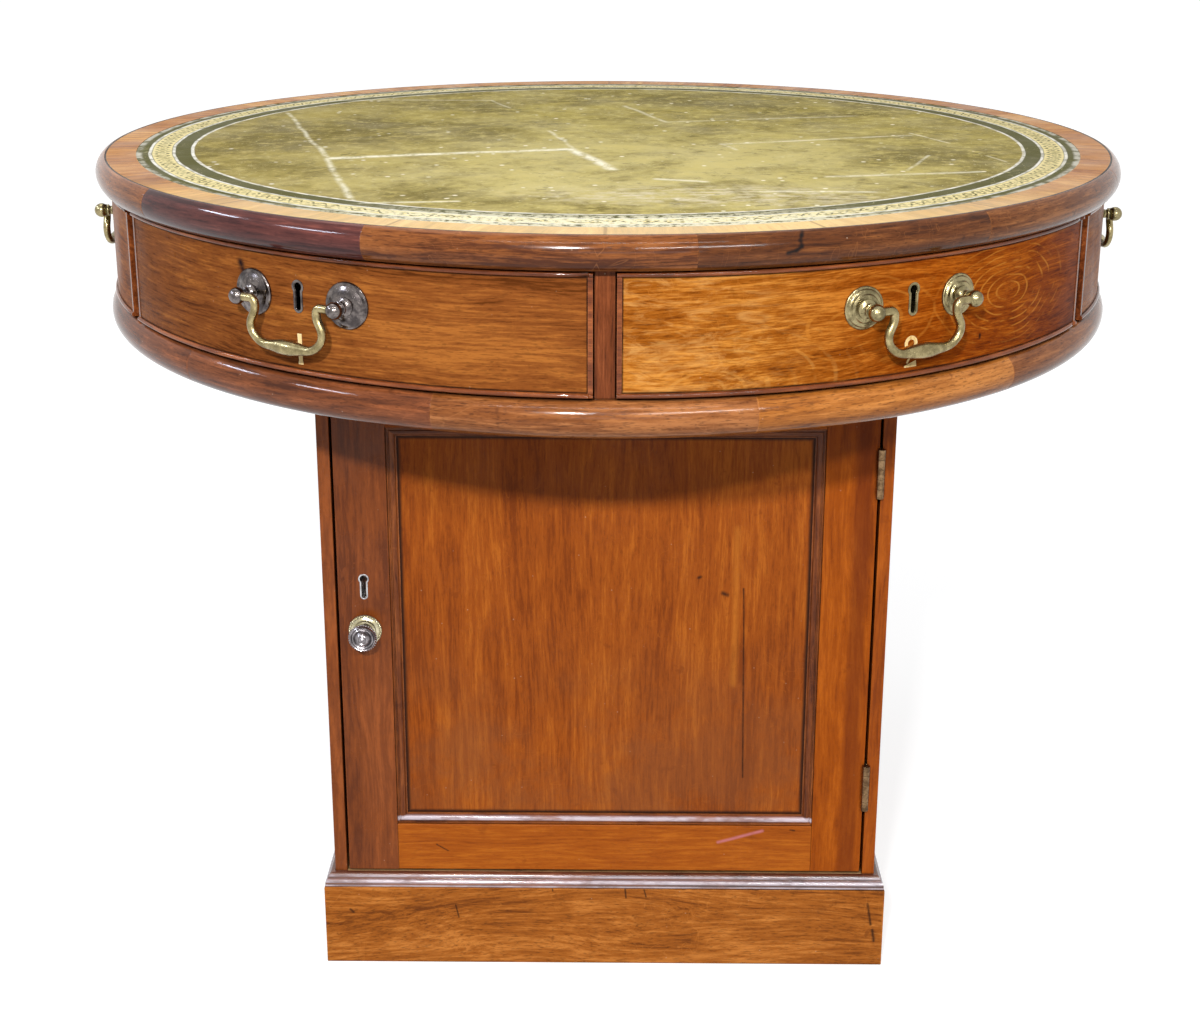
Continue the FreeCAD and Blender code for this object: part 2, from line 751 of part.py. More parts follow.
def shank_nut(side):
    """The nut that draws the post tight inside the drawer."""
    level = -front_thickness - rest_gap - shank_nut_height
    nut = Part.makeCylinder(shank_nut_radius, shank_nut_height, Vector(0, 0, level))
    hole = Part.makeCylinder(shank_radius + glue_line, shank_nut_height, Vector(0, 0, level))
    return on_face(nut.cut(hole), side)


def drawer_fittings():
    """Roses, posts and nuts of the handle, the keyhole lining and the lock."""
    pieces = [make(side) for make in (post, rose, shank_nut) for side in (-1, 1)]
    lining = moved(keyhole_lining(front_thickness), 0, -face_radius, keyhole_level)
    pieces.append(lining.common(ring(front_inner_radius, face_radius, field_bottom, field_top)))
    case = box(-lock_width / 2, lock_width / 2, -front_inner_radius, lock_thickness - front_inner_radius,
               field_top - lock_height, field_top)
    pieces.append(case.common(disc(front_inner_radius - glue_line, field_bottom, drawer_top)))
    return pieces


def rounded_path(points, radii):
    """Straight runs through points, with a tangent arc at each inner corner."""
    edges = []
    start = points[0]
    for before, corner, after, radius in zip(points, points[1:], points[2:], radii):
        arriving = (corner - before).normalize()
        leaving = (after - corner).normalize()
        turn = arriving.getAngle(leaving)
        tangent = radius * math.tan(turn / 2)
        inward = (leaving - arriving).normalize()
        depth = radius / math.cos(turn / 2) - radius
        first = corner - arriving * tangent
        last = corner + leaving * tangent
        edges.append(line(start, first))
        edges.append(arc(first, corner + inward * depth, last))
        start = last
    edges.append(line(start, points[-1]))
    return Part.Wire(edges)


def bail():
    """A swan-neck bail with a swelling grip, hung on two pins."""
    def point(inset, drop):
        return Vector(handle_half - inset, bail_y, handle_level - drop)

    wire_start = point(post_ball_radius + rest_gap, 0)
    wire_end = Vector(bail_grip_half, bail_y, handle_level - bail_depth)
    corners = [
        wire_start, point(bail_neck_inset, 0), point(bail_waist_inset, bail_waist_drop),
        point(bail_shoulder_inset, bail_shoulder_drop), point(bail_corner_inset, bail_depth), wire_end]
    section = Part.Wire(Part.makeCircle(bail_wire_radius, wire_start, Vector(1, 0, 0)))
    arm = rounded_path(corners, bail_bends).makePipeShell([section], True, False)
    pin = Part.makeCylinder(
        bail_pin_radius, post_ball_radius + rest_gap + bail_pin_reach, wire_start, Vector(1, 0, 0))
    arm = arm.fuse(pin)

    def grip_point(along, radius):
        return Vector(along, bail_y, handle_level - bail_depth + radius)

    left = grip_point(-bail_grip_half, bail_wire_radius)
    right = grip_point(bail_grip_half, bail_wire_radius)
    edges = [arc(left, grip_point(0, bail_swell_radius), right)]
    edges += polyline([right, grip_point(bail_grip_half, 0), grip_point(-bail_grip_half, 0), left])
    grip = Part.Face(Part.Wire(edges)).revolve(grip_point(0, 0), Vector(1, 0, 0), 360)
    return arm.fuse([grip, mirrored(arm)])


front_pieces = [drawer_front(), cock_bead()]
box_pieces = drawer_box()
fitting_pieces = drawer_fittings()
bail_piece = bail()
for number, angle in enumerate(front_angles, start=1):
    name = "drawer_%d" % number
    save(name + "_front", *[turned(piece, angle) for piece in front_pieces])
    save(name + "_box", *[turned(piece, angle) for piece in box_pieces])
    save(name + "_fittings", *[turned(piece, angle) for piece in fitting_pieces])
    save(name + "_bail", turned(bail_piece, angle))
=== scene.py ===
"""Looks of the revolving drum-top desk: polished mahogany, tooled leather and old brass.
Metres, +Z up, origin on the floor under the middle, door facing -Y."""
import json
import math
import random
from functools import partial
import bmesh
import bpy
from mathutils import Matrix, Vector

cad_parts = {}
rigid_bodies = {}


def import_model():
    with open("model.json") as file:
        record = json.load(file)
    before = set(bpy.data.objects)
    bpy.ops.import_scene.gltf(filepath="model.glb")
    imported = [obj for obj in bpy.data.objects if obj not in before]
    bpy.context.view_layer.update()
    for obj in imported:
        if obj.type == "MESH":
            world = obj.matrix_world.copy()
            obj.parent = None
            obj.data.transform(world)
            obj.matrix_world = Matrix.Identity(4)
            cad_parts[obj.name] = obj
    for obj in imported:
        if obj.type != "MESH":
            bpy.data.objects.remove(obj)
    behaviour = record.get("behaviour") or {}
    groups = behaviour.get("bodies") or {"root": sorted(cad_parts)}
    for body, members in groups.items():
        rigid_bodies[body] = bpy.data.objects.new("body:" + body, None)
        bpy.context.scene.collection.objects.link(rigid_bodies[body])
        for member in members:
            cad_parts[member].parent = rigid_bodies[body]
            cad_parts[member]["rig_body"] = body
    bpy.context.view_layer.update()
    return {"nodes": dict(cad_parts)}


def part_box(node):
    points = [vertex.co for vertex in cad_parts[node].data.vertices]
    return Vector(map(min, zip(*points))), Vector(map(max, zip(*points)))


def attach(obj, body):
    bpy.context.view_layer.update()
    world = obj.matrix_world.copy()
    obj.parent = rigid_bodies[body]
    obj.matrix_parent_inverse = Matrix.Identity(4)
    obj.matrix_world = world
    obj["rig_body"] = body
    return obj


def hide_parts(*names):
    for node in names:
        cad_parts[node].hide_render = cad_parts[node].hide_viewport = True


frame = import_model()
nodes = frame["nodes"]
chance = random.Random(7)

# Sizes read from the frame
top_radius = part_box("edge_moulding")[1].x
leather_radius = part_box("leather_inset")[1].x
leather_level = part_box("leather_inset")[1].z
drawer_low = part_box("drawer_1_front")[0].z
drawer_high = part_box("drawer_1_front")[1].z

# Sizes of the drum's front
face_radius = 0.497
drawer_count = 6
drawer_pitch = math.tau / drawer_count
front_half_angle = math.radians(28.47)
handle_level = 0.722
keyhole_level = 0.732
numeral_level = 0.68

# Width of the strips round the door panel
panel_moulding_width = 0.01

# How far rubbed edges, soiling with painted shade in corners, and relief reach
wood_rub, wood_dirt_and_shade, wood_relief = 0.0022, 0.004, 0.0004
brass_rub, brass_grime, brass_relief = 0.0009, 0.003, 0.0003
leather_relief = 0.0006
iron_relief = 0.0004


# Shader building blocks
def feed(made, inputs):
    """Sets a node's sockets, by name or number, to values or colours, or links them to other sockets."""
    for key, value in inputs.items():
        if isinstance(value, bpy.types.NodeSocket):
            made.id_data.links.new(value, made.inputs[key])
        else:
            socket = made.inputs[key]
            socket.default_value = (*value, 1.0) if socket.type == "RGBA" else value


def node(tree, kind, inputs, **settings):
    """Adds a shader node to a tree, feeds it and returns its outputs."""
    made = tree.nodes.new("ShaderNode" + kind)
    for key, value in settings.items():
        setattr(made, key, value)
    feed(made, inputs)
    return made.outputs


def fed(kind, inputs, **settings):
    """Adds a shader node to the tree that its inputs come from and returns its outputs."""
    tree = next(value.id_data for value in inputs.values() if isinstance(value, bpy.types.NodeSocket))
    return node(tree, kind, inputs, **settings)


def maths(operation, first, second=0.0, clamp=False):
    return fed("Math", {0: first, 1: second}, operation=operation, use_clamp=clamp)[0]


def vector_maths(operation, first, second=(0, 0, 0)):
    made = fed("VectorMath", {0: first, 1: second}, operation=operation)
    return made["Value" if operation in ("LENGTH", "DISTANCE", "DOT_PRODUCT") else "Vector"]


times = partial(maths, "MULTIPLY")
plus = partial(maths, "ADD")
minus = partial(maths, "SUBTRACT")
larger = partial(maths, "MAXIMUM")
stretched = partial(vector_maths, "MULTIPLY")


def blend(factor, first, second, mode="MIX"):
    """Mixes two colours."""
    return fed("Mix", {0: factor, 6: first, 7: second}, data_type="RGBA", blend_type=mode)[2]


def layered(colour, *layers):
    """Lays tints over a colour, each through a mask that is taken at some share."""
    for mask, share, tint in layers:
        colour = blend(times(mask, share), colour, tint)
    return colour


def span(value, low, high, to_low=0.0, to_high=1.0):
    """Maps low..high to to_low..to_high, smoothly and clamped."""
    limits = {"Value": value, "From Min": low, "From Max": high, "To Min": to_low, "To Max": to_high}
    return fed("MapRange", limits, interpolation_type="SMOOTHSTEP")[0]


def stripe(value, low, high, soft=0.0005):
    """A mask that is one between two values."""
    return times(span(value, low - soft, low + soft), span(value, high + soft, high - soft))


def noise(vector, scale, detail=2.0, rough=0.5, warp=0.0):
    settings = {"Vector": vector, "Scale": scale, "Detail": detail, "Roughness": rough, "Distortion": warp}
    return fed("TexNoise", settings)[0]


def dots(place, scale, chosen_by, rarity, size):
    """Scattered small dots as a mask; few cells are chosen, by one channel of their random colour."""
    cells = fed("TexVoronoi", {"Vector": place, "Scale": scale, "Randomness": 1.0})
    chosen = span(fed("SeparateColor", {0: cells["Color"]})[chosen_by], *rarity)
    return times(span(cells["Distance"], *size), chosen)


def axes(place):
    return fed("SeparateXYZ", {0: place})


def turn_of(parts):
    """The angle of a point round the drum, to the right of the front."""
    return maths("ARCTAN2", parts["X"], times(parts["Y"], -1.0))


def new_group(name, inputs, outputs):
    """A shader node group, as the sockets that feed it and its end; inputs maps names to first values."""
    tree = bpy.data.node_groups.new(name, "ShaderNodeTree")
    for label, first in inputs.items():
        kind = {4: "Color", 3: "Vector"}[len(first)] if isinstance(first, tuple) else "Float"
        socket = tree.interface.new_socket(label, in_out="INPUT", socket_type="NodeSocket" + kind)
        socket.default_value = first
    for label in outputs:
        kind = "Color" if label == "Color" else "Float"
        tree.interface.new_socket(label, in_out="OUTPUT", socket_type="NodeSocket" + kind)
    return tree.nodes.new("NodeGroupInput").outputs, tree.nodes.new("NodeGroupOutput")


def placed(group, inputs):
    """Puts a node group to work and returns its outputs."""
    return fed("Group", inputs, node_tree=group)


# Shared effects
origin = (0.0, 0.0, 0.0)


def wood_grain_group():
    """Long streaks, soft clouds and short dark pores; the vector runs along the grain on X."""
    inputs = {"Vector": origin, "Pale": (0.5, 0.2, 0.05, 1.0), "Middle": (0.35, 0.1, 0.02, 1.0),
              "Deep": (0.15, 0.04, 0.01, 1.0), "Streaks": 45.0, "Figure": 0.3, "Pores": 0.5}
    get, end = new_group("wood_grain", inputs, ("Color", "Height", "Pores"))
    waver = noise(stretched(get["Vector"], (1.4, 6.0, 6.0)), 1.6, 2.0)
    waver = times(minus(waver, 0.5), times(get["Figure"], 0.09))
    bent = vector_maths("ADD", get["Vector"], fed("CombineXYZ", {"Y": waver, "Z": waver})[0])

    def along(length, *settings):
        return noise(stretched(bent, (length, 1.0, 1.0)), *settings)

    fine = along(0.06, times(get["Streaks"], 7.0), 3.0, 0.65)
    tone = 0.0
    for layer, share in ((along(0.35, 9.0, 3.0, 0.55), 0.26), (along(0.05, get["Streaks"], 3.0, 0.6), 0.22),
                         (fine, 0.3), (along(0.2, 130.0, 5.0, 0.75), 0.22)):
        tone = plus(times(layer, share), tone)
    lower = blend(span(tone, 0.41, 0.5), get["Deep"], get["Middle"])
    colour = blend(span(tone, 0.49, 0.6), lower, get["Pale"])
    dashes = times(span(along(0.12, 1100.0, 1.0, 0.5), 0.56, 0.7), 0.5)
    flecks = times(span(along(0.25, 520.0, 2.0, 0.5), 0.63, 0.74), 0.5)
    pores = times(larger(dashes, flecks), get["Pores"])
    dark = blend(0.75, get["Deep"], (0.012, 0.004, 0.002))
    height = minus(times(fine, 0.35), pores)
    feed(end, {"Color": blend(pores, colour, dark), "Height": height, "Pores": pores})
    return end.id_data


def old_polish_group():
    """Hairline scratches, bruises and dust on a polished surface, and the smears that vary its gloss."""
    get, end = new_group("old_polish", {"Vector": origin, "Density": 0.5},
                         ("Scratches", "Bruises", "Dust", "Smears"))
    place, density = get["Vector"], get["Density"]
    lines = 0.0
    for turn, step in ((0.4, 3.1), (-0.9, 8.7), (1.7, 5.2)):
        way = fed("VectorRotate", {"Vector": place, "Axis": (0.5, 0.6, 0.62), "Angle": turn})
        moved = vector_maths("ADD", way[0], (step, step, step))
        hair = maths("ABSOLUTE", minus(noise(stretched(moved, (0.05, 1.0, 1.0)), 70.0, 1.0), 0.5))
        hair = times(span(hair, 0.006, 0.0), span(noise(moved, 11.0, 2.0), 0.52, 0.62))
        lines = larger(hair, lines)
    bruises = span(noise(place, 55.0, 3.0, 0.6), 0.66, 0.74)
    dust = dots(place, 160.0, 0, (0.94, 0.97), (0.14, 0.05))
    feed(end, {"Scratches": times(lines, density), "Bruises": times(bruises, density),
               "Dust": times(dust, density), "Smears": noise(place, 16.0, 4.0, 0.6)})
    return end.id_data


def edge_wear_group():
    """A broken mask along rounded edges, where hands and cloths have rubbed the colour away."""
    get, end = new_group("edge_wear", {"Vector": origin, "Reach": 0.002}, ("Mask",))
    soft = fed("Bevel", {"Radius": get["Reach"]}, samples=4)
    flat = node(end.id_data, "NewGeometry", {})
    edge = span(vector_maths("DOT_PRODUCT", soft[0], flat["Normal"]), 0.995, 0.86)
    broken = span(noise(get["Vector"], 38.0, 4.0, 0.65), 0.36, 0.62)
    feed(end, {"Mask": times(edge, broken)})
    return end.id_data


def dirt_and_shade_group():
    """A mask of corners and hollows found by ambient occlusion, for the soiling and old wax gathered there
    and for painted shade.
    """
    get, end = new_group("dirt_and_shade", {"Vector": origin, "Reach": 0.008}, ("Mask",))
    shut = fed("AmbientOcclusion", {"Distance": get["Reach"]}, samples=6)
    corner = span(shut["AO"], 0.82, 0.35)
    patchy = span(noise(get["Vector"], 30.0, 3.0, 0.6), 0.2, 0.7, 0.45, 1.0)
    feed(end, {"Mask": times(corner, patchy)})
    return end.id_data


def scored_line_group():
    """A wandering worn line between two points, thinning out to nothing in places."""
    inputs = {"Vector": origin, "Start": origin, "Finish": (1.0, 0.0, 0.0), "Width": 0.002,
              "Drift": (0.012, 0.012, 0.0), "Faintest": 0.2}
    get, end = new_group("scored_line", inputs, ("Mask",))
    drift = fed("TexNoise", {"Vector": get["Vector"], "Scale": 9.0, "Detail": 3.0})["Color"]
    drift = stretched(vector_maths("SUBTRACT", drift, (0.5, 0.5, 0.5)), get["Drift"])
    spot = vector_maths("SUBTRACT", vector_maths("ADD", get["Vector"], drift), get["Start"])
    run = vector_maths("SUBTRACT", get["Finish"], get["Start"])
    length = vector_maths("DOT_PRODUCT", run, run)
    share = maths("DIVIDE", vector_maths("DOT_PRODUCT", spot, run), length, clamp=True)
    foot = fed("VectorMath", {0: run, "Scale": share}, operation="SCALE")[0]
    line = span(vector_maths("DISTANCE", spot, foot), get["Width"], 0.0)
    worn = span(noise(get["Vector"], 75.0, 4.0, 0.75), 0.36, 0.56, get["Faintest"], 1.0)
    feed(end, {"Mask": times(line, worn)})
    return end.id_data


wood_grain = wood_grain_group()
old_polish = old_polish_group()
edge_wear = edge_wear_group()
dirt_and_shade = dirt_and_shade_group()
scored_line = scored_line_group()


# Finishes
def new_material(name):
    """An empty material, its shader, and where a point of the piece lies."""
    material = bpy.data.materials.new(name)
    material.use_nodes = True
    tree = material.node_tree
    tree.nodes.clear()
    shader = tree.nodes.new("ShaderNodeBsdfPrincipled")
    out = tree.nodes.new("ShaderNodeOutputMaterial")
    tree.links.new(shader.outputs[0], out.inputs[0])
    return material, shader, node(tree, "TexCoord", {})["Object"]


def roughened(shader, height, strength, depth):
    """Feeds a height to the shader's normal through a bump."""
    bump = fed("Bump", {"Height": height, "Strength": strength, "Distance": depth})
    feed(shader, {"Normal": bump[0]})


def timber(name, pale, middle, deep, streaks=45.0, figure=0.3, pores=0.5, wear=0.5, dirt_and_shade_share=0.85,
           gloss=(0.24, 0.42), sheen=0.15, relief=0.25, mark=None):
    """A polished wood; relief is how far its grain stands out, and mark paints over its colour."""
    material, shader, place = new_material(name)
    grain = node(shader.id_data, "Attribute", {}, attribute_name="grain")["Vector"]
    wood = placed(wood_grain, {"Vector": grain, "Pale": pale, "Middle": middle, "Deep": deep,
                               "Streaks": streaks, "Figure": figure, "Pores": pores})
    polish = placed(old_polish, {"Vector": place, "Density": wear})
    rubbed = placed(edge_wear, {"Vector": place, "Reach": wood_rub})["Mask"]
    corners = placed(dirt_and_shade, {"Vector": place, "Reach": wood_dirt_and_shade})["Mask"]
    colour = layered(wood["Color"], (polish["Bruises"], 0.6, deep), (rubbed, wear, pale),
                     (polish["Scratches"], 0.45, pale), (polish["Dust"], 0.4, (0.6, 0.42, 0.28)))
    if mark:
        colour = mark(colour, place)
    # Corners darkened almost to black: old wax and soiling, and painted shade.
    colour = layered(colour, (corners, dirt_and_shade_share, (0.016, 0.007, 0.004)))
    dull = plus(span(polish["Smears"], 0.3, 0.7, *gloss), times(wood["Pores"], 0.15))
    dull = plus(dull, times(corners, 0.25), clamp=True)
    feed(shader, {"Base Color": colour, "Roughness": dull, "Specular IOR Level": sheen})
    roughened(shader, wood["Height"], relief, wood_relief)
    return material


def field_edge(colour, place):
    """Old wax and shadow in the corner between a drawer's field and its cock bead."""
    parts = axes(place)
    turn = maths("FLOORED_MODULO", turn_of(parts), drawer_pitch)
    turn = maths("ABSOLUTE", minus(turn, drawer_pitch / 2))
    far, near = 0.0058, 0.0044
    line = larger(span(parts["Z"], drawer_low + far, drawer_low + near),
                  span(parts["Z"], drawer_high - far, drawer_high - near))
    line = larger(line, span(turn, front_half_angle - 0.0034, front_half_angle - 0.0008))
    patchy = span(noise(place, 60.0, 3.0), 0.3, 0.6, 0.65, 0.95)
    return layered(colour, (line, patchy, (0.014, 0.006, 0.004)))


def scored(colour, place, start, finish, width, ink, share=0.85):
    """Draws one scored line over a wood's colour."""
    ends = {"Vector": place, "Start": start, "Finish": finish, "Width": width, "Drift": (0.003, 0.0, 0.003),
            "Faintest": 0.7}
    return layered(colour, (placed(scored_line, ends)["Mask"], share, ink))


def scored_front(colour, place, face, cuts):
    """Scored lines on a flat front, each with x, z, end x, end z, width, ink and perhaps a share."""
    for x, z, end_x, end_z, *look in cuts:
        colour = scored(colour, place, (x, face, z), (end_x, face, end_z), *look)
    return colour


def panel_marks(colour, place):
    """Painted shade round the door panel's edge, a darker browner lower part, two pin knots, a pale sap
    streak and a fine shake beside it.
    """
    low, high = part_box("door_panel_moulding")
    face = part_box("door_panel")[0].y
    parts = axes(place)
    # A painted shadow line round the panel's edge, just inside its moulding.
    edge = 0.0
    for axis, first, last in (("X", low.x, high.x), ("Z", low.z, high.z)):
        away = maths("ABSOLUTE", minus(parts[axis], (first + last) / 2))
        inner = (last - first) / 2 - panel_moulding_width
        edge = larger(span(away, inner - 0.0045, inner - 0.0008), edge)
    # Darker and browner towards the bottom, in patches.
    lower_darkening = times(span(parts["Z"], 0.38, 0.22), span(noise(place, 9.0, 5.0, 0.7), 0.34, 0.6))
    colour = layered(colour, (lower_darkening, 0.5, (0.185, 0.058, 0.019)))
    ink = (0.012, 0.005, 0.003)
    colour = scored_front(colour, place, face, (
        (0.1247, 0.46, 0.124, 0.3, 0.006, (0.52, 0.17, 0.02), 0.4),
        (0.1316, 0.4, 0.1359, 0.2, 0.0014, ink),
        (0.112, 0.395, 0.116, 0.3935, 0.0036, ink, 1.0),
        (0.0885, 0.4105, 0.0905, 0.4115, 0.0026, ink, 1.0)))
    # Painted shade: the dark line round the panel's edge goes on its front only.
    front = span(parts["Y"], face + 0.003, face + 0.001, 0.0, 0.92)
    return layered(colour, (edge, front, ink))


def stile_streak(colour, place):
    """A dark red streak up the outer part of the door's right stile."""
    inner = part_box("door_panel_moulding")[1].x
    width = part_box("door_stiles")[1].x - inner
    wander = times(noise(stretched(place, (1.0, 1.0, 0.15)), 40.0, 3.0), 0.008)
    across = minus(plus(axes(place)["X"], wander), inner + 0.004)
    streak = stripe(across, 0.55 * width, 0.88 * width, 0.004)
    return layered(colour, (streak, 0.6, (0.13, 0.022, 0.004)))


def rail_marks(colour, place):
    """A chalky graze and two short cuts on the door's bottom rail."""
    ink = (0.02, 0.008, 0.004)
    return scored_front(colour, place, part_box("door_rails")[0].y, (
        (0.112, 0.132, 0.1556, 0.1448, 0.0026, (0.5, 0.16, 0.17), 0.9),
        (-0.166, 0.128, -0.155, 0.121, 0.0013, ink), (0.183, 0.146, 0.187, 0.1455, 0.0016, ink)))


def plinth_marks(colour, place):
    """Knocks and short cuts on the front of the plinth."""
    cuts = ((-0.148, 0.066, -0.145, 0.052, 0.0014), (0.021, 0.086, 0.022, 0.075, 0.0016),
            (0.04, 0.084, 0.042, 0.076, 0.0013), (-0.052, 0.088, -0.051, 0.082, 0.0012),
            (0.262, 0.07, 0.266, 0.046, 0.0022), (0.268, 0.04, 0.27, 0.028, 0.0026),
            (-0.253, 0.06, -0.25, 0.057, 0.0022), (0.146, 0.087, 0.152, 0.085, 0.002))
    ink = (0.02, 0.008, 0.004)
    return scored_front(colour, place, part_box("plinth_boards")[0].y, [(*cut, ink) for cut in cuts])


def painted_sheen(colour, place, line, share):
    """A painted silvery highlight along a line, thinner in places."""
    patchy = span(noise(stretched(place, (0.25, 0.25, 1.0)), 110.0, 4.0, 0.7), 0.36, 0.6, 0.35, 1.0)
    return layered(colour, (times(line, patchy), share, (0.6, 0.52, 0.57)))


def plinth_painted_sheen(colour, place):
    """Painted silvery highlights on the rounds of the plinth moulding."""
    low, high = (corner.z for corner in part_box("plinth_moulding"))
    level = axes(place)["Z"]
    for start, finish, share in ((0.04, 0.16, 0.8), (0.34, 0.56, 0.75), (0.72, 0.86, 0.6)):
        line = stripe(level, low + (high - low) * start, low + (high - low) * finish, 0.0008)
        colour = painted_sheen(colour, place, line, share)
    return colour


def panel_painted_sheen(colour, place):
    """A painted silvery highlight along the bottom strip of the door panel's moulding."""
    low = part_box("door_panel_moulding")[0].z
    return painted_sheen(colour, place, stripe(axes(place)["Z"], low + 0.0035, low + 0.0078, 0.0012), 0.85)


def round_point(angle, level, radius=face_radius):
    """A point of the drum, at an angle to the right of the front."""
    return (radius * math.sin(angle), -radius * math.cos(angle), level)


def drum_point(degrees, level, radius=face_radius):
    return round_point(math.radians(degrees), level, radius)


def ring_figure(place, degrees, level, pitch, reach):
    """Thin broken rings of pale grain round a knot in a drawer front, as a mask."""
    away = vector_maths("SUBTRACT", place, drum_point(degrees, level))
    ring = vector_maths("LENGTH", stretched(away, (0.62, 0.62, 1.25)))
    uneven = times(noise(place, 18.0, 2.0), 0.014)
    wave = maths("SINE", times(plus(ring, uneven), math.tau / pitch))
    broken = span(noise(place, 45.0, 3.0, 0.6), 0.4, 0.6)
    return times(times(span(wave, 0.66, 1.0), broken), span(ring, reach, reach * 0.45))


def drawer_2_figure(colour, place):
    """Golden mottle at the left, redder wood with pale rings at the right, and a pin hole."""
    turn = turn_of(axes(place))
    red = span(turn, math.radians(12), math.radians(34))
    colour = blend(times(red, 0.8), colour, (0.76, 0.42, 0.06), "MULTIPLY")
    clouds = noise(stretched(place, (0.5, 0.5, 1.8)), 36.0, 6.0, 0.72, 1.6)
    gold = times(span(turn, math.radians(22), math.radians(8)), span(clouds, 0.44, 0.68))
    pale = (0.52, 0.19, 0.025)
    colour = layered(colour, (gold, 0.6, (0.6, 0.3, 0.085)),
                     (ring_figure(place, 9.5, 0.664, 0.0115, 0.1), 0.24, (0.62, 0.32, 0.08)),
                     (ring_figure(place, 43.4, 0.7154, 0.0075, 0.075), 0.7, pale),
                     (ring_figure(place, 23.7, 0.71, 0.01, 0.07), 0.4, pale))
    hole = (drum_point(39.1, 0.681), drum_point(39.1, 0.683))
    colour = scored(colour, place, *hole, 0.0026, (0.012, 0.005, 0.003), 1.0)
    return field_edge(colour, place)


def drawer_1_marks(colour, place):
    """A plugged slot above the left rose."""
    slot = (drum_point(-37.3, 0.744), drum_point(-36.9, 0.737))
    return field_edge(scored(colour, place, *slot, 0.0062, (0.012, 0.006, 0.006), 1.0), place)


def stile_marks(colour, place):
    """A few pale flecks of old paint down one edge of the front stile."""
    paint = (0.85, 0.78, 0.62)
    for degrees, high, low in ((-0.82, 0.744, 0.7395), (-0.78, 0.737, 0.733), (-0.7, 0.7285, 0.727)):
        fleck = (drum_point(degrees, high), drum_point(degrees, low))
        colour = scored(colour, place, *fleck, 0.003, paint, 1.0)
    return colour


def crossband_leaves(colour, place):
    """Sets the short veneers of the crossbanding apart: each its own tone, the front ones lightened golden by
    painted glare.
    """
    parts = axes(place)
    leaf_count = 18
    turn = times(maths("ARCTAN2", parts["X"], parts["Y"]), leaf_count / math.tau)
    leaf = fed("TexWhiteNoise", {"W": maths("FLOOR", turn)}, noise_dimensions="1D")["Value"]
    colour = blend(span(leaf, 0.0, 1.0, 0.0, 0.35), colour, (0.62, 0.46, 0.32), "MULTIPLY")
    # Painted highlight: the front of the band lightened golden, as glare.
    painted_front_glare = span(parts["Y"], -0.22, -0.46, 0.0, 0.7)
    colour = blend(painted_front_glare, colour, (0.62, 0.46, 0.2), "SCREEN")
    seam = span(maths("PINGPONG", turn, 0.5), 0.012, 0.004, 0.0, 0.45)
    return blend(seam, colour, (0.12, 0.04, 0.01))


def cracked(colour, place):
    """A stepped crack down the face of one edge moulding segment."""
    path = ((17.5, 0.789, 0.5035), (17.3, 0.7865, 0.5061), (17.1, 0.783, 0.5084), (17.2, 0.7785, 0.5098),
            (16.7, 0.7755, 0.5101), (15.9, 0.774, 0.51))
    spots = [drum_point(*spot) for spot in path]
    for start, finish in zip(spots, spots[1:]):
        colour = scored(colour, place, start, finish, 0.0028, (0.008, 0.004, 0.003), 1.0)
    return colour


def brass(name, bright, dull, tarnish, gloss=(0.17, 0.36)):
    """Old metal worn by hands: bright where it is rubbed, brown in the hollows, with fine pits."""
    material, shader, place = new_material(name)
    clouds = noise(place, 130.0, 4.0, 0.6)
    pits = span(noise(place, 900.0, 2.0), 0.6, 0.7)
    hollows = placed(dirt_and_shade, {"Vector": place, "Reach": brass_grime})["Mask"]
    rubbed = placed(edge_wear, {"Vector": place, "Reach": brass_rub})["Mask"]
    colour = blend(span(clouds, 0.36, 0.64), bright, dull)
    colour = layered(colour, (pits, 0.6, tarnish), (rubbed, 1.0, bright), (hollows, 1.0, tarnish))
    dulled = plus(span(clouds, 0.3, 0.7, *gloss), times(pits, 0.15))
    metal = span(hollows, 0.2, 0.9, 1.0, 0.45)
    feed(shader, {"Base Color": colour, "Metallic": metal, "Roughness": dulled})
    roughened(shader, minus(times(clouds, 0.5), pits), 0.2, brass_relief)
    return material


# Worn lines in the leather: start, finish, width and how far the colour is gone
leather_creases = (
    ((-0.265, -0.137), (-0.037, -0.075), 0.0105, 1.0), ((-0.037, -0.075), (0.006, -0.197), 0.0095, 1.0),
    ((-0.062, 0.051), (-0.033, -0.075), 0.004, 0.5), ((-0.362, 0.183), (-0.29, -0.06), 0.004, 0.6),
    ((-0.29, -0.06), (-0.213, -0.357), 0.005, 0.65), ((0.018, 0.256), (0.063, 0.118), 0.0045, 0.5),
    ((0.063, 0.118), (0.277, 0.176), 0.0045, 0.45), ((0.113, -0.041), (0.315, 0.027), 0.0055, 0.6),
    ((0.318, 0.043), (0.347, -0.026), 0.003, 0.6), ((0.113, -0.038), (0.126, -0.078), 0.004, 0.4),
    ((0.312, -0.107), (0.278, -0.194), 0.003, 0.5), ((0.045, -0.249), (0.087, -0.261), 0.007, 0.7),
    ((0.129, -0.309), (0.23, -0.31), 0.006, 0.6), ((0.201, -0.232), (0.343, -0.203), 0.0065, 0.6),
    ((-0.203, -0.371), (-0.125, -0.36), 0.005, 0.7), ((0.367, -0.104), (0.378, -0.146), 0.003, 0.5),
    ((-0.333, 0.3), (-0.142, 0.305), 0.0045, 0.5), ((-0.142, 0.305), (-0.114, 0.233), 0.0035, 0.4))

# Tooled border, measured in from the leather's edge
border_twists = 104.0
gilt_band = (0.0155, 0.034)
border_lines = ((0.012, 0.015), (0.0345, 0.0372), (0.052, 0.0552))


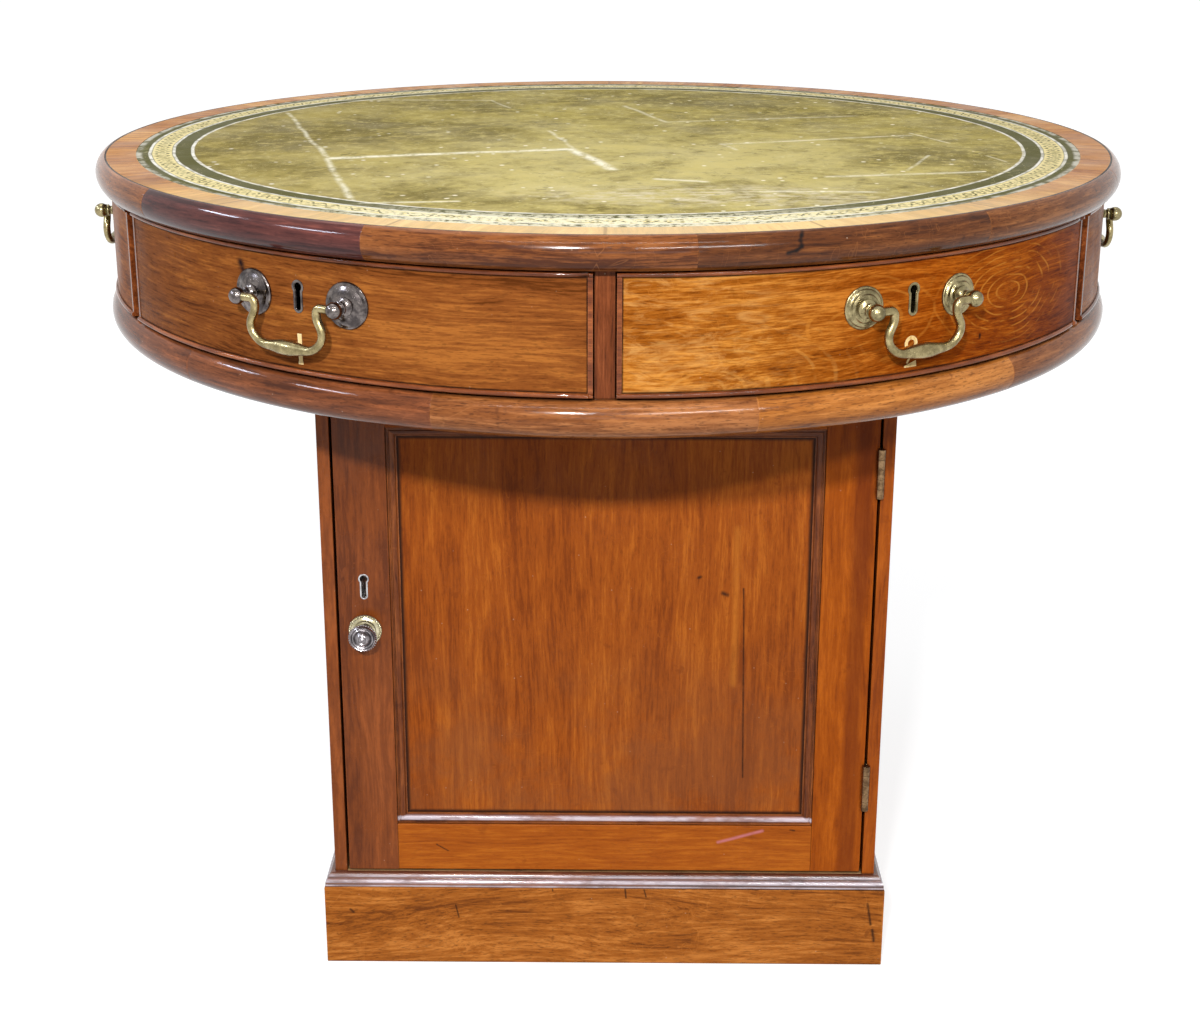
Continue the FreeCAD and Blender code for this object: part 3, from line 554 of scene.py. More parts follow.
def tooling_motif(turn, depth, low, high):
    """A twisted-ribbon border with a dot in each eye: a mask of the leather left between the gilding."""
    wave = times(maths("SINE", turn), 0.62)
    height = maths("DIVIDE", minus(depth, (low + high) / 2), (high - low) / 2)
    strands = (minus(height, wave), plus(height, wave))
    lines = [span(maths("ABSOLUTE", strand), 0.2, 0.1) for strand in strands]
    eye = plus(maths("POWER", height, 2.0), times(maths("POWER", maths("COSINE", turn), 2.0), 0.5))
    return larger(larger(*lines), span(eye, 0.1, 0.05))


def tooled_leather():
    """Olive skiver with a gilt tooled border, rubbed pale in patches, creased and scratched; sheen and shade
    painted in.
    """
    material, shader, place = new_material("tooled_leather")
    parts = axes(place)
    deep, gilt, chalky = (0.085, 0.078, 0.02), (0.74, 0.62, 0.3), (0.78, 0.74, 0.64)
    reach = vector_maths("LENGTH", stretched(place, (1.0, 1.0, 0.0)))
    depth = plus(minus(leather_radius, reach), times(minus(noise(place, 25.0, 3.0), 0.5), 0.0022))
    turn = times(maths("ARCTAN2", parts["Y"], parts["X"]), border_twists)
    patches = noise(place, 7.0, 6.0, 0.7, 0.4)
    mottle = noise(place, 60.0, 6.0, 0.75)
    flecks = noise(place, 170.0, 4.0, 0.7)
    pebble = fed("TexVoronoi", {"Vector": place, "Scale": 620.0})["Distance"]
    rubbed = span(noise(place, 48.0, 4.0, 0.7), 0.36, 0.6)
    # A paler patch at the front middle: wear where arms rest, and painted sheen.
    front_sheen_and_wear = vector_maths("DISTANCE", place, (0.04, -0.22, leather_level))
    front_sheen_and_wear = times(span(front_sheen_and_wear, 0.42, 0.08), span(patches, 0.3, 0.6))
    away = stretched(vector_maths("SUBTRACT", place, (0.09, -0.33, leather_level)), (0.5, 1.6, 0.0))
    scuffs = noise(stretched(place, (0.35, 1.0, 1.0)), 150.0, 5.0, 0.7)
    scuffs = times(span(vector_maths("LENGTH", away), 0.11, 0.03), span(scuffs, 0.44, 0.6))
    field = blend(span(patches, 0.36, 0.64), (0.16, 0.122, 0.022), (0.37, 0.293, 0.068))
    field = layered(field, (front_sheen_and_wear, 0.7, (0.6, 0.5, 0.2)),
                    (span(mottle, 0.48, 0.68), 0.7, (0.56, 0.455, 0.15)),
                    (span(mottle, 0.46, 0.32), 0.65, (0.14, 0.108, 0.022)),
                    (span(flecks, 0.58, 0.72), 0.6, (0.66, 0.58, 0.3)),
                    (dots(place, 75.0, 1, (0.84, 0.9), (0.24, 0.1)), 1.0, (0.85, 0.8, 0.6)),
                    (scuffs, 0.75, (0.66, 0.57, 0.4)))
    # Painted shade: the field made darker and cooler towards the left.
    field = blend(span(parts["X"], 0.0, -0.4, 0.0, 0.8), field, (0.84, 0.82, 0.9), "MULTIPLY")
    band = stripe(depth, *gilt_band)
    ground = blend(tooling_motif(turn, depth, *gilt_band), gilt, deep)
    ground = layered(ground, (span(flecks, 0.46, 0.56), 0.75, gilt),
                     (span(mottle, 0.52, 0.66), 0.6, (0.34, 0.27, 0.09)))
    colour = layered(field, (span(depth, 0.0545, 0.053), 1.0, deep), (band, 1.0, ground))
    for low, high in border_lines:
        colour = layered(colour, (stripe(depth, low, high), span(rubbed, 0.0, 1.0, 0.45, 1.0), chalky))
    front = times(span(parts["Y"], -0.36, -0.45), span(depth, 0.052, 0.048))
    front = times(front, span(flecks, 0.4, 0.54))
    worn = 0.0
    for start, finish, width, bare in leather_creases:
        ends = {"Start": (*start, leather_level), "Finish": (*finish, leather_level), "Width": width}
        worn = larger(times(placed(scored_line, {"Vector": place, **ends})["Mask"], bare), worn)
    polish = placed(old_polish, {"Vector": place, "Density": 1.0})
    colour = layered(colour, (span(depth, 0.0075, 0.004), rubbed, (0.5, 0.47, 0.38)),
                     (front, 0.8, (0.82, 0.76, 0.54)), (worn, 0.95, (0.88, 0.82, 0.62)),
                     (polish["Scratches"], 0.6, (0.6, 0.54, 0.28)),
                     (polish["Dust"], 0.7, (0.75, 0.7, 0.5)), (polish["Bruises"], 0.5, deep))
    dull = span(polish["Smears"], 0.3, 0.7, 0.42, 0.6)
    feed(shader, {"Base Color": colour, "Roughness": dull, "Specular IOR Level": 0.03})
    height = minus(plus(times(pebble, 0.5), times(mottle, 0.6)), times(worn, 1.2))
    roughened(shader, minus(height, times(band, 0.4)), 0.35, leather_relief)
    return material


def plain_iron():
    """Dark oiled iron with patches of rust."""
    material, shader, place = new_material("oiled_iron")
    clouds = noise(place, 90.0, 5.0, 0.65)
    rust = span(noise(place, 45.0, 5.0, 0.7), 0.52, 0.66)
    colour = blend(clouds, (0.07, 0.068, 0.066), (0.2, 0.19, 0.18))
    colour = blend(rust, colour, (0.16, 0.055, 0.02))
    dull = span(clouds, 0.3, 0.7, 0.38, 0.62)
    feed(shader, {"Base Color": colour, "Metallic": span(rust, 0.0, 1.0, 1.0, 0.2), "Roughness": dull})
    roughened(shader, clouds, 0.3, iron_relief)
    return material


# Woods: their pale, middle and deep tones, and how each differs from plain polished timber
drawer_polish = dict(streaks=60.0, figure=0.6, pores=0.7, sheen=0.02)
frame_polish = dict(streaks=40.0, figure=0.5, pores=0.3, wear=0.7, gloss=(0.16, 0.34))
woods = {
    "drawer_straight": ((0.4, 0.128, 0.016), (0.235, 0.062, 0.007), (0.105, 0.024, 0.003), dict(
        drawer_polish, mark=field_edge)),
    "drawer_slotted": ((0.335, 0.112, 0.021), (0.192, 0.055, 0.011), (0.085, 0.022, 0.004), dict(
        drawer_polish, mark=drawer_1_marks)),
    "drawer_swirl": ((0.52, 0.2, 0.03), (0.27, 0.075, 0.006), (0.115, 0.025, 0.002), dict(
        drawer_polish, streaks=95.0, figure=0.7, pores=0.6, mark=drawer_2_figure)),
    "bead_wood": ((0.3, 0.085, 0.022), (0.15, 0.036, 0.009), (0.06, 0.014, 0.004), dict(
        wear=0.8, dirt_and_shade_share=0.5, gloss=(0.07, 0.14), sheen=0.26, relief=0.03)),
    "stile_wood": ((0.26, 0.07, 0.02), (0.14, 0.034, 0.009), (0.06, 0.014, 0.004), dict(
        pores=0.4, wear=0.9, gloss=(0.12, 0.26), sheen=0.1, relief=0.1, mark=stile_marks)),
    "dark_moulding": ((0.19, 0.055, 0.04), (0.085, 0.024, 0.02), (0.035, 0.01, 0.01), dict(
        gloss=(0.07, 0.13), sheen=0.2, relief=0.02)),
    "glossy_moulding": ((0.3, 0.09, 0.03), (0.15, 0.043, 0.014), (0.06, 0.017, 0.007), dict(
        wear=0.8, pores=0.8, gloss=(0.07, 0.13), sheen=0.17, relief=0.03)),
    "red_moulding": ((0.37, 0.138, 0.042), (0.2, 0.062, 0.015), (0.075, 0.02, 0.006), dict(
        wear=0.8, pores=1.0, gloss=(0.08, 0.16), sheen=0.17, relief=0.04)),
    "worn_moulding": ((0.3, 0.11, 0.03), (0.135, 0.04, 0.009), (0.045, 0.013, 0.004), dict(
        pores=1.0, wear=1.0, gloss=(0.1, 0.2), sheen=0.15, relief=0.06)),
    "cracked_moulding": ((0.22, 0.075, 0.019), (0.1, 0.029, 0.007), (0.036, 0.01, 0.003), dict(
        pores=1.0, wear=1.0, gloss=(0.08, 0.16), sheen=0.18, relief=0.04, mark=cracked)),
    "orange_moulding": ((0.54, 0.205, 0.045), (0.33, 0.108, 0.018), (0.13, 0.036, 0.008), dict(
        pores=1.0, wear=0.9, gloss=(0.1, 0.2), sheen=0.18, relief=0.05)),
    "crossband": ((0.68, 0.36, 0.1), (0.45, 0.18, 0.034), (0.24, 0.075, 0.01), dict(
        streaks=22.0, figure=0.6, pores=0.6, gloss=(0.3, 0.45), sheen=0.1, mark=crossband_leaves)),
    "ebony_line": ((0.03, 0.016, 0.01), (0.013, 0.008, 0.005), (0.006, 0.004, 0.003), dict(sheen=0.05)),
    "door_panel_wood": ((0.41, 0.108, 0.011), (0.285, 0.063, 0.006), (0.185, 0.037, 0.004), dict(
        streaks=50.0, figure=0.35, pores=0.45, wear=0.9, sheen=0.08, mark=panel_marks)),
    "left_frame_wood": ((0.27, 0.068, 0.013), (0.175, 0.041, 0.007), (0.105, 0.023, 0.004), dict(
        frame_polish, figure=0.8, sheen=0.16)),
    "frame_wood": ((0.41, 0.096, 0.007), (0.29, 0.06, 0.004), (0.19, 0.036, 0.003), dict(
        frame_polish, sheen=0.1)),
    "right_stile_wood": ((0.41, 0.096, 0.007), (0.29, 0.06, 0.004), (0.19, 0.036, 0.003), dict(
        frame_polish, sheen=0.06, mark=stile_streak)),
    "rail_wood": ((0.42, 0.112, 0.01), (0.32, 0.073, 0.006), (0.21, 0.043, 0.004), dict(
        streaks=55.0, figure=0.4, pores=0.4, wear=0.7, sheen=0.08, mark=rail_marks)),
    "plinth_wood": ((0.54, 0.19, 0.036), (0.33, 0.095, 0.012), (0.15, 0.038, 0.005), dict(
        streaks=48.0, figure=1.0, pores=0.9, wear=0.9, sheen=0.08, mark=plinth_marks)),
    "moulding_wood": ((0.28, 0.1, 0.05), (0.13, 0.04, 0.02), (0.05, 0.014, 0.008), dict(
        gloss=(0.08, 0.16), sheen=0.8, relief=0.03, wear=0.8, mark=plinth_painted_sheen)),
    "panel_bead": ((0.3, 0.085, 0.018), (0.15, 0.037, 0.008), (0.06, 0.014, 0.004), dict(
        dirt_and_shade_share=1.0, gloss=(0.07, 0.14), sheen=0.14, relief=0.03, wear=0.8, mark=panel_painted_sheen)),
    "inner_wood": ((0.46, 0.27, 0.115), (0.34, 0.18, 0.07), (0.22, 0.11, 0.04), dict(
        gloss=(0.55, 0.75), sheen=0.1, pores=0.4)),
    "numeral_inlay": ((0.9, 0.7, 0.36), (0.8, 0.58, 0.26), (0.55, 0.36, 0.13), dict(pores=0.3, wear=0.3)),
}

# Metals: their bright, dull and tarnished tones, and a gloss where it isn't the usual one
metals = {
    "bail_brass": ((0.4, 0.325, 0.165), (0.23, 0.185, 0.09), (0.05, 0.038, 0.018)),
    "rose_brass": ((0.36, 0.3, 0.16), (0.18, 0.148, 0.075), (0.03, 0.024, 0.012)),
    "dark_bronze": ((0.2, 0.172, 0.16), (0.065, 0.055, 0.054), (0.012, 0.01, 0.01), (0.12, 0.25)),
    "knob_brass": ((0.42, 0.39, 0.4), (0.15, 0.135, 0.14), (0.02, 0.017, 0.016)),
    "hinge_brass": ((0.25, 0.155, 0.08), (0.105, 0.06, 0.03), (0.02, 0.011, 0.006)),
    "gilt_brass": ((0.6, 0.55, 0.38), (0.36, 0.31, 0.17), (0.06, 0.045, 0.025)),
    "silvered_brass": ((0.56, 0.55, 0.55), (0.22, 0.21, 0.22), (0.05, 0.045, 0.045)),
}
finishes = {name: timber(name, *tones, **polish) for name, (*tones, polish) in woods.items()}
finishes.update({name: brass(name, *tones) for name, tones in metals.items()})
finishes.update(leather=tooled_leather(), iron=plain_iron())

# The record's material slot of each finish; the other woods are mahogany
slots = {"leather": "leather", "iron": "iron", "inner_wood": "inner_wood", "crossband": "crossband",
         "ebony_line": "stringing", "numeral_inlay": "brass", **dict.fromkeys(metals, "brass")}


# Mesh building blocks
def solids_of(name):
    """The closed solids of a CAD node, welded, with flat faces joined, each in a bmesh of its own."""
    whole = bmesh.new()
    whole.from_mesh(nodes[name].data)
    bmesh.ops.remove_doubles(whole, verts=whole.verts, dist=2e-6)
    bmesh.ops.dissolve_limit(whole, angle_limit=math.radians(0.4), verts=whole.verts, edges=whole.edges)
    whole.faces.index_update()
    whole.faces.ensure_lookup_table()
    waiting = set(range(len(whole.faces)))
    solids = []
    while waiting:
        found = {min(waiting)}
        edge = list(found)
        while edge:
            for border in whole.faces[edge.pop()].edges:
                fresh = {other.index for other in border.link_faces} - found
                found |= fresh
                edge += fresh
        waiting -= found
        solid = whole.copy()
        unwanted = [face for face in solid.faces if face.index not in found]
        bmesh.ops.delete(solid, geom=unwanted, context="FACES")
        solids.append(solid)
    whole.free()
    return solids


def grain_of(point, way):
    """Where a point lies in its board: along the grain, across it, and into it."""
    x, y, z = point
    sweep = math.atan2(x, -y) * top_radius
    radius = math.hypot(x, y)
    return {"X": (x, z, y), "Y": (y, z, x), "Z": (z, x, y), "plinth": (x - y, z, max(abs(x), abs(y))),
            "round": (sweep, z, radius), "radial": (radius, sweep, z)}[way]


def longest_way(mesh):
    spans = [max(v.co[i] for v in mesh.vertices) - min(v.co[i] for v in mesh.vertices) for i in range(3)]
    return "XYZ"[spans.index(max(spans))]


def finish_piece(name, shape, finish, body, stands_for=None, way="long", shifted=True, crisp=35.0):
    """Turns a bmesh into a piece that rides on a body, with its grain laid out and its normals set."""
    mesh = bpy.data.meshes.new(name)
    bmesh.ops.recalc_face_normals(shape, faces=shape.faces)
    shape.to_mesh(mesh)
    shape.free()
    mesh.shade_smooth()
    mesh.set_sharp_from_angle(angle=math.radians(crisp))
    shift = Vector([chance.uniform(2, 40) for axis in "XYZ"]) if shifted else Vector()
    chosen = longest_way(mesh) if way == "long" else way
    layout = mesh.attributes.new("grain", "FLOAT_VECTOR", "POINT")
    for vertex in mesh.vertices:
        layout.data[vertex.index].vector = Vector(grain_of(vertex.co, chosen)) + shift
    mesh.materials.append(finishes[finish])
    piece = bpy.data.objects.new(name, mesh)
    bpy.context.scene.collection.objects.link(piece)
    piece.modifiers.new("even_normals", "WEIGHTED_NORMAL").keep_sharp = True
    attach(piece, body)
    if stands_for:
        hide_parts(stands_for)


def eased(shape, width):
    """Rounds the sharp edges of a solid a little."""
    sharp = [edge for edge in shape.edges
             if len(edge.link_faces) == 2 and edge.calc_face_angle(0.0) > math.radians(32)]
    bmesh.ops.bevel(shape, geom=sharp, offset=width, segments=3, profile=0.5, affect="EDGES",
                    clamp_overlap=True)


def dress(name, finish, ease=0.0006, way="long", shifted=True):
    """Finished pieces for every solid of a CAD node; finish is one name, or a list used in turn."""
    names = finish if isinstance(finish, list) else [finish]
    for index, solid in enumerate(solids_of(name)):
        if ease:
            eased(solid, ease)
        label, chosen = f"{name}_finished_{index + 1}", names[index % len(names)]
        finish_piece(label, solid, chosen, nodes[name]["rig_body"], name, way, shifted)


def arc(x, y, radius, start, finish, steps):
    """Points round a centre from one angle to another."""
    turns = [start + (finish - start) * step / steps for step in range(steps + 1)]
    return [(x + radius * math.cos(a), y + radius * math.sin(a)) for a in turns]


def join_rings(shape, rings):
    """Faces from each ring of points to the next; a ring of one point closes the shape."""
    for lower, upper in zip(rings, rings[1:]):
        steps = max(len(lower), len(upper))
        for step in range(steps):
            after = (step + 1) % steps
            if len(lower) == 1:
                corners = (lower[0], upper[after], upper[step])
            elif len(upper) == 1:
                corners = (lower[step], lower[after], upper[0])
            else:
                corners = (lower[step], lower[after], upper[after], upper[step])
            shape.faces.new(corners)


def lathe(profile, steps=56):
    """A turned shape about +Z from (radius, height) points; a radius of nought closes it."""
    shape = bmesh.new()
    rings = []
    for radius, height in profile:
        spots = arc(0.0, 0.0, radius, 0.0, math.tau, steps)[:-1] if radius else [(0.0, 0.0)]
        rings.append([shape.verts.new((*spot, height)) for spot in spots])
    join_rings(shape, rings)
    return shape


def beads(shape, count, reach, height, radius, stretch=(1.0, 1.0, 1.0), lean=0.0):
    """Adds a ring of small beads to a turned shape; lean tilts them into a rope."""
    for index in range(count):
        turn = Matrix.Rotation(math.tau * index / count, 4, "Z")
        place = turn @ Matrix.Translation((reach, 0.0, height)) @ Matrix.Rotation(lean, 4, "X")
        place = place @ Matrix.Diagonal((*stretch, 1.0))
        bmesh.ops.create_icosphere(shape, subdivisions=2, radius=radius, matrix=place)


def tube(path, radii, steps=20):
    """A round rod along a path in the XZ plane, with its own radius at each point and flat ends."""
    shape = bmesh.new()
    rings = []
    side = Vector((0.0, 1.0, 0.0))
    for index, (point, radius) in enumerate(zip(path, radii)):
        before = path[max(index - 1, 0)]
        after = path[min(index + 1, len(path) - 1)]
        out = (after - before).normalized().cross(side)
        spots = arc(0.0, 0.0, radius, 0.0, math.tau, steps)[:-1]
        rings.append([shape.verts.new(point + side * across + out * up) for across, up in spots])
    join_rings(shape, rings)
    shape.faces.new(rings[0])
    shape.faces.new(rings[-1])
    return shape


def rounded_path(corners, bends, steps=9):
    """Points along a line whose inner corners are rounded to these radii."""
    path = [corners[0]]
    for before, corner, after, bend in zip(corners, corners[1:], corners[2:], bends):
        back = (before - corner).normalized()
        ahead = (after - corner).normalized()
        half = back.angle(ahead) / 2
        middle = corner + (back + ahead).normalized() * bend / math.sin(half)
        start = corner + back * bend / math.tan(half) - middle
        finish = corner + ahead * bend / math.tan(half) - middle
        turns = [start.angle(finish) * step / steps for step in range(steps + 1)]
        axis = start.cross(finish)
        path += [middle + Matrix.Rotation(turn, 3, axis) @ start for turn in turns]
    return path + [corners[-1]]


def drawer_turn(number):
    """The turn about the swivel axis that takes the front of the desk to a drawer's middle."""
    return Matrix.Rotation(drawer_pitch * (number - 1.5), 4, "Z")


# Pedestal
dress("plinth_boards", "plinth_wood", 0.0012, "plinth")
dress("plinth_moulding", "moulding_wood", 0.0004, "plinth")
dress("carcass_left_side", "left_frame_wood", 0.001, "Z")
dress("carcass_right_side", "frame_wood", 0.001, "Z")
dress("carcass_back", "frame_wood", 0.0008, "Z")
for inner in ("carcass_floor", "carcass_top", "cupboard_shelf"):
    dress(inner, "inner_wood", 0.0008, "X")
for brass_part in ("fixed_hinge_leaves", "hinge_pins"):
    dress(brass_part, "hinge_brass", 0.0008)
for iron_part in ("swivel_spindle", "spindle_nut", "lower_swivel_plate"):
    dress(iron_part, "iron", 0.0003)

# Drum
dress("top_board", "inner_wood", 0.0, "X")
dress("leather_inset", "leather", 0.0)
dress("crossband", "crossband", 0.0, "radial", False)
dress("stringing", "ebony_line", 0.0, "round")

# Woods of the moulding segments right of the first joint, its angle in degrees, and the paring of joints
edge_woods = ("cracked", "worn", "red", "dark", "red", "worn", "red", "dark", "worn", "red", "dark", "red")
base_woods = ("orange", "red", "red") * 3 + ("glossy", "glossy", "red")
edge_first_joint = 8.0
base_first_joint = 14.0
joint_pare = 0.0004
joint_pare_angle = math.radians(0.06)


def moulding_segment(profile, start, finish, steps=30):
    """A closed length of a moulded ring between two angles, pared back a little at its joints."""
    middle = sum((Vector(point) for point in profile), Vector((0.0, 0.0))) / len(profile)
    turns = [start, start + joint_pare_angle]
    turns += [start + (finish - start) * step / steps for step in range(1, steps)]
    turns += [finish - joint_pare_angle, finish]
    shape = bmesh.new()
    rings = []
    for angle in turns:
        pare = joint_pare if angle in (start, finish) else 0.0
        spots = [Vector(point) + (middle - Vector(point)).normalized() * pare for point in profile]
        rings.append([shape.verts.new(round_point(angle, level, radius)) for radius, level in spots])
    join_rings(shape, rings)
    shape.faces.new(rings[0])
    shape.faces.new(list(reversed(rings[-1])))
    return shape


def nosing(first, middle, last, steps=20):
    """Points of the circular arc through three (radius, level) points."""
    (ax, ay), (bx, by), (cx, cy) = first, middle, last
    scale = 2 * (ax * (by - cy) + bx * (cy - ay) + cx * (ay - by))
    squares = (ax * ax + ay * ay, bx * bx + by * by, cx * cx + cy * cy)
    x = (squares[0] * (by - cy) + squares[1] * (cy - ay) + squares[2] * (ay - by)) / scale
    y = (squares[0] * (cx - bx) + squares[1] * (ax - cx) + squares[2] * (bx - ax)) / scale
    radius = math.hypot(ax - x, ay - y)
    return arc(x, y, radius, math.atan2(ay - y, ax - x), math.atan2(cy - y, cx - x), steps)


def moulding_ring(name, profile, first_joint, woods_round):
    """A moulded ring in as many segments as there are woods named."""
    pitch = math.tau / len(woods_round)
    for index, wood in enumerate(woods_round):
        start = math.radians(first_joint) + pitch * index
        shape = moulding_segment(profile, start, start + pitch)
        finish_piece(f"{name}_finished_{index + 1}", shape, wood + "_moulding", "drum", name, "round")


edge_low, edge_high = (corner.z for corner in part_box("edge_moulding"))
edge_back, edge_top, edge_foot = 0.501, 0.502, 0.503
edge_belly = edge_high - 0.45 * (edge_high - edge_low)
edge_profile = nosing((edge_top, edge_high), (top_radius, edge_belly), (edge_foot, edge_low))
edge_profile += [(edge_back, edge_low), (edge_back, edge_high)]
base_low, base_high = (corner.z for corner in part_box("base_moulding"))
base_back, base_edge, base_belly = 0.484, 0.494, 0.504
base_middle = (base_high + base_low) / 2
base_profile = nosing((base_edge, base_high), (base_belly, base_middle), (base_edge, base_low))
base_profile += [(base_back, base_low), (base_back, base_high)]
moulding_ring("edge_moulding", edge_profile, edge_first_joint, edge_woods)
moulding_ring("base_moulding", base_profile, base_first_joint, base_woods)
for inner in ("drum_base", "drum_core", "drum_dividers", "drawer_runners"):
    dress(inner, "inner_wood", 0.0006)
dress("frieze_stiles", "stile_wood", 0.0005, "Z")
dress("upper_swivel_plate", "iron", 0.0003)
dress("spindle_bush", "rose_brass", 0.0003)

# Door, with profiles as (radius, height) and moulding sections as (inset, rise)
knob_narrowing = 0.87
knob_profile = (
    (0.0, 0.0012), (0.0066, 0.0012), (0.0066, 0.0034), (0.0054, 0.0052), (0.0052, 0.0092), (0.0068, 0.0122),
    (0.0112, 0.0148), (0.0146, 0.0172), (0.0149, 0.0186), (0.0146, 0.02), (0.0136, 0.0212), (0.0128, 0.0208),
    (0.0122, 0.0203), (0.0114, 0.0212), (0.0106, 0.0217), (0.0096, 0.0212), (0.0089, 0.0206), (0.008, 0.022),
    (0.0064, 0.0236), (0.0048, 0.0244), (0.004, 0.024), (0.0034, 0.0246), (0.0018, 0.0256), (0.0, 0.0259))
backplate_profile = (
    (0.0, 0.0), (0.018, 0.0), (0.018, 0.001), (0.016, 0.0012), (0.0148, 0.0016), (0.0138, 0.0024),
    (0.0124, 0.0026), (0.0112, 0.002), (0.0098, 0.0022), (0.0084, 0.003), (0.0, 0.003))
knob_rope = (34, 0.0129, 0.0186, 0.001)
backplate_rope = (36, 0.0146, 0.0013, 0.0013, (1.0, 0.6, 0.8), 0.6)
panel_moulding_section = (
    (0.0, 0.0), (0.0, 0.005), (0.001, 0.0053), (0.0018, 0.005), (0.0022, 0.0041), (0.003, 0.0041),
    (0.0036, 0.0048), (0.0048, 0.0051), (0.0062, 0.0048), (0.0076, 0.0039), (0.0085, 0.0027),
    (0.0088, 0.0014), (0.0099, 0.0012), (panel_moulding_width, 0.0))


def door_turned(name, profile, finish, rope):
    """A turned brass piece with a roped edge on the door's left stile, facing forward."""
    shape = lathe([(radius * knob_narrowing, height) for radius, height in profile])
    beads(shape, *rope)
    low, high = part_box("door_knob")
    middle = Vector(((low.x + high.x) / 2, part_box("door_stiles")[0].y, (low.z + high.z) / 2))
    shape.transform(Matrix.Translation(middle) @ Matrix.Rotation(math.pi / 2, 4, "X"))
    finish_piece(name + "_finished", shape, finish, "door", name)


def panel_moulding():
    """Four mitred strips round the door panel: a fillet, a quirk and a rounded face."""
    name = "door_panel_moulding"
    low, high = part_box(name)
    middle = Vector(((low.x + high.x) / 2, high.y, (low.z + high.z) / 2))
    half = Vector(((high.x - low.x) / 2, 0.0, (high.z - low.z) / 2))
    signs = ((-1, -1), (1, -1), (1, 1), (-1, 1))
    for index, way in enumerate("XZXZ"):
        ends = (signs[index], signs[(index + 1) % 4])
        shape = bmesh.new()
        rows = []
        for inset, rise in panel_moulding_section:
            out = half - Vector((inset, 0.0, inset))
            spots = [Vector((sx * out.x, -rise, sz * out.z)) for sx, sz in ends]
            rows.append([shape.verts.new(middle + spot) for spot in spots])
        for near, far in zip(rows, rows[1:] + rows[:1]):
            shape.faces.new((near[0], near[1], far[1], far[0]))
        shape.faces.new([row[0] for row in rows])
        shape.faces.new([row[1] for row in reversed(rows)])
        finish_piece(f"{name}_finished_{index + 1}", shape, "panel_bead", "door", name, way)


door_turned("door_knob", knob_profile, "knob_brass", knob_rope)
door_turned("knob_backplate", backplate_profile, "gilt_brass", backplate_rope)
dress("door_stiles", ["left_frame_wood", "right_stile_wood"], 0.0008)
dress("door_rails", "rail_wood", 0.0008, "X")
dress("door_panel", "door_panel_wood", 0.0, "Z")
panel_moulding()
dress("door_escutcheon", "silvered_brass", 0.0002)
dress("moving_hinge_leaves", "hinge_brass", 0.0008)
dress("door_lock", "iron", 0.0003)
dress("door_bolt", "iron", 0.0003)

# Drawer handles
handle_half = 0.05
ball_reach = 0.516
ball_radius = 0.0071
post_angle = math.asin(handle_half / ball_reach)
bail_plane = -ball_reach * math.cos(post_angle)
bail_depth = 0.037
bail_radius = 0.0036
bail_swell = 0.0065
bail_swell_half = 0.026
bail_bends = (0.0045, 0.015, 0.012, 0.018)
grip_inset = 0.0225
bail_outline = ((0.0, 0.0), (0.018, 0.0), (0.0185, 0.009), (0.0105, 0.024), (grip_inset, bail_depth),
                (handle_half, bail_depth))

# Fittings that stand this proud are the roses and posts, and those set back this far are iron
mount_proud = 0.0035
iron_setback = 0.004

# Profiles of the turned mounts, as (radius, height)
domed_rose = (
    (0.0196, -0.0006), (0.0196, 0.001), (0.019, 0.0018), (0.0178, 0.0021), (0.0168, 0.0019), (0.016, 0.0022),
    (0.014, 0.0034), (0.0115, 0.0045), (0.009, 0.0051), (0.007, 0.0053), (0.0, 0.0053))
stepped_rose = (
    (0.0178, -0.0006), (0.0178, 0.001), (0.0172, 0.0016), (0.016, 0.0017), (0.0156, 0.0022), (0.015, 0.003),
    (0.0142, 0.0034), (0.0124, 0.0034), (0.0119, 0.0039), (0.0112, 0.0048), (0.0104, 0.005), (0.0, 0.005))
post_neck = (
    (0.0, 0.0046), (0.0084, 0.0046), (0.008, 0.0058), (0.006, 0.0066), (0.0046, 0.0078), (0.0041, 0.0096),
    (0.0046, 0.011), (0.0058, 0.0117), (0.0058, 0.0125), (0.0044, 0.0132))


def post_profile():
    """A necked post that ends in a ball with a small collar behind it."""
    centre = ball_reach - face_radius
    ball = arc(0.0, centre, ball_radius, math.radians(-52), math.radians(90), 14)[:-1]
    return [*post_neck, *ball, (0.0, centre + ball_radius)]


def handle_mounts(number, rose, finish):
    """A rose and a post at each end of a drawer's handle, standing on the face."""
    for side, label in ((-1, "left"), (1, "right")):
        turn = drawer_turn(number) @ Matrix.Rotation(side * post_angle, 4, "Z")
        stand = Matrix.Translation((0.0, -face_radius, handle_level)) @ Matrix.Rotation(math.pi / 2, 4, "X")
        for part, profile in (("rose", rose), ("post", post_profile())):
            shape = lathe(profile)
            shape.transform(turn @ stand)
            drawer = f"drawer_{number}"
            finish_piece(f"{drawer}_{label}_{part}", shape, finish, drawer, drawer + "_fittings")


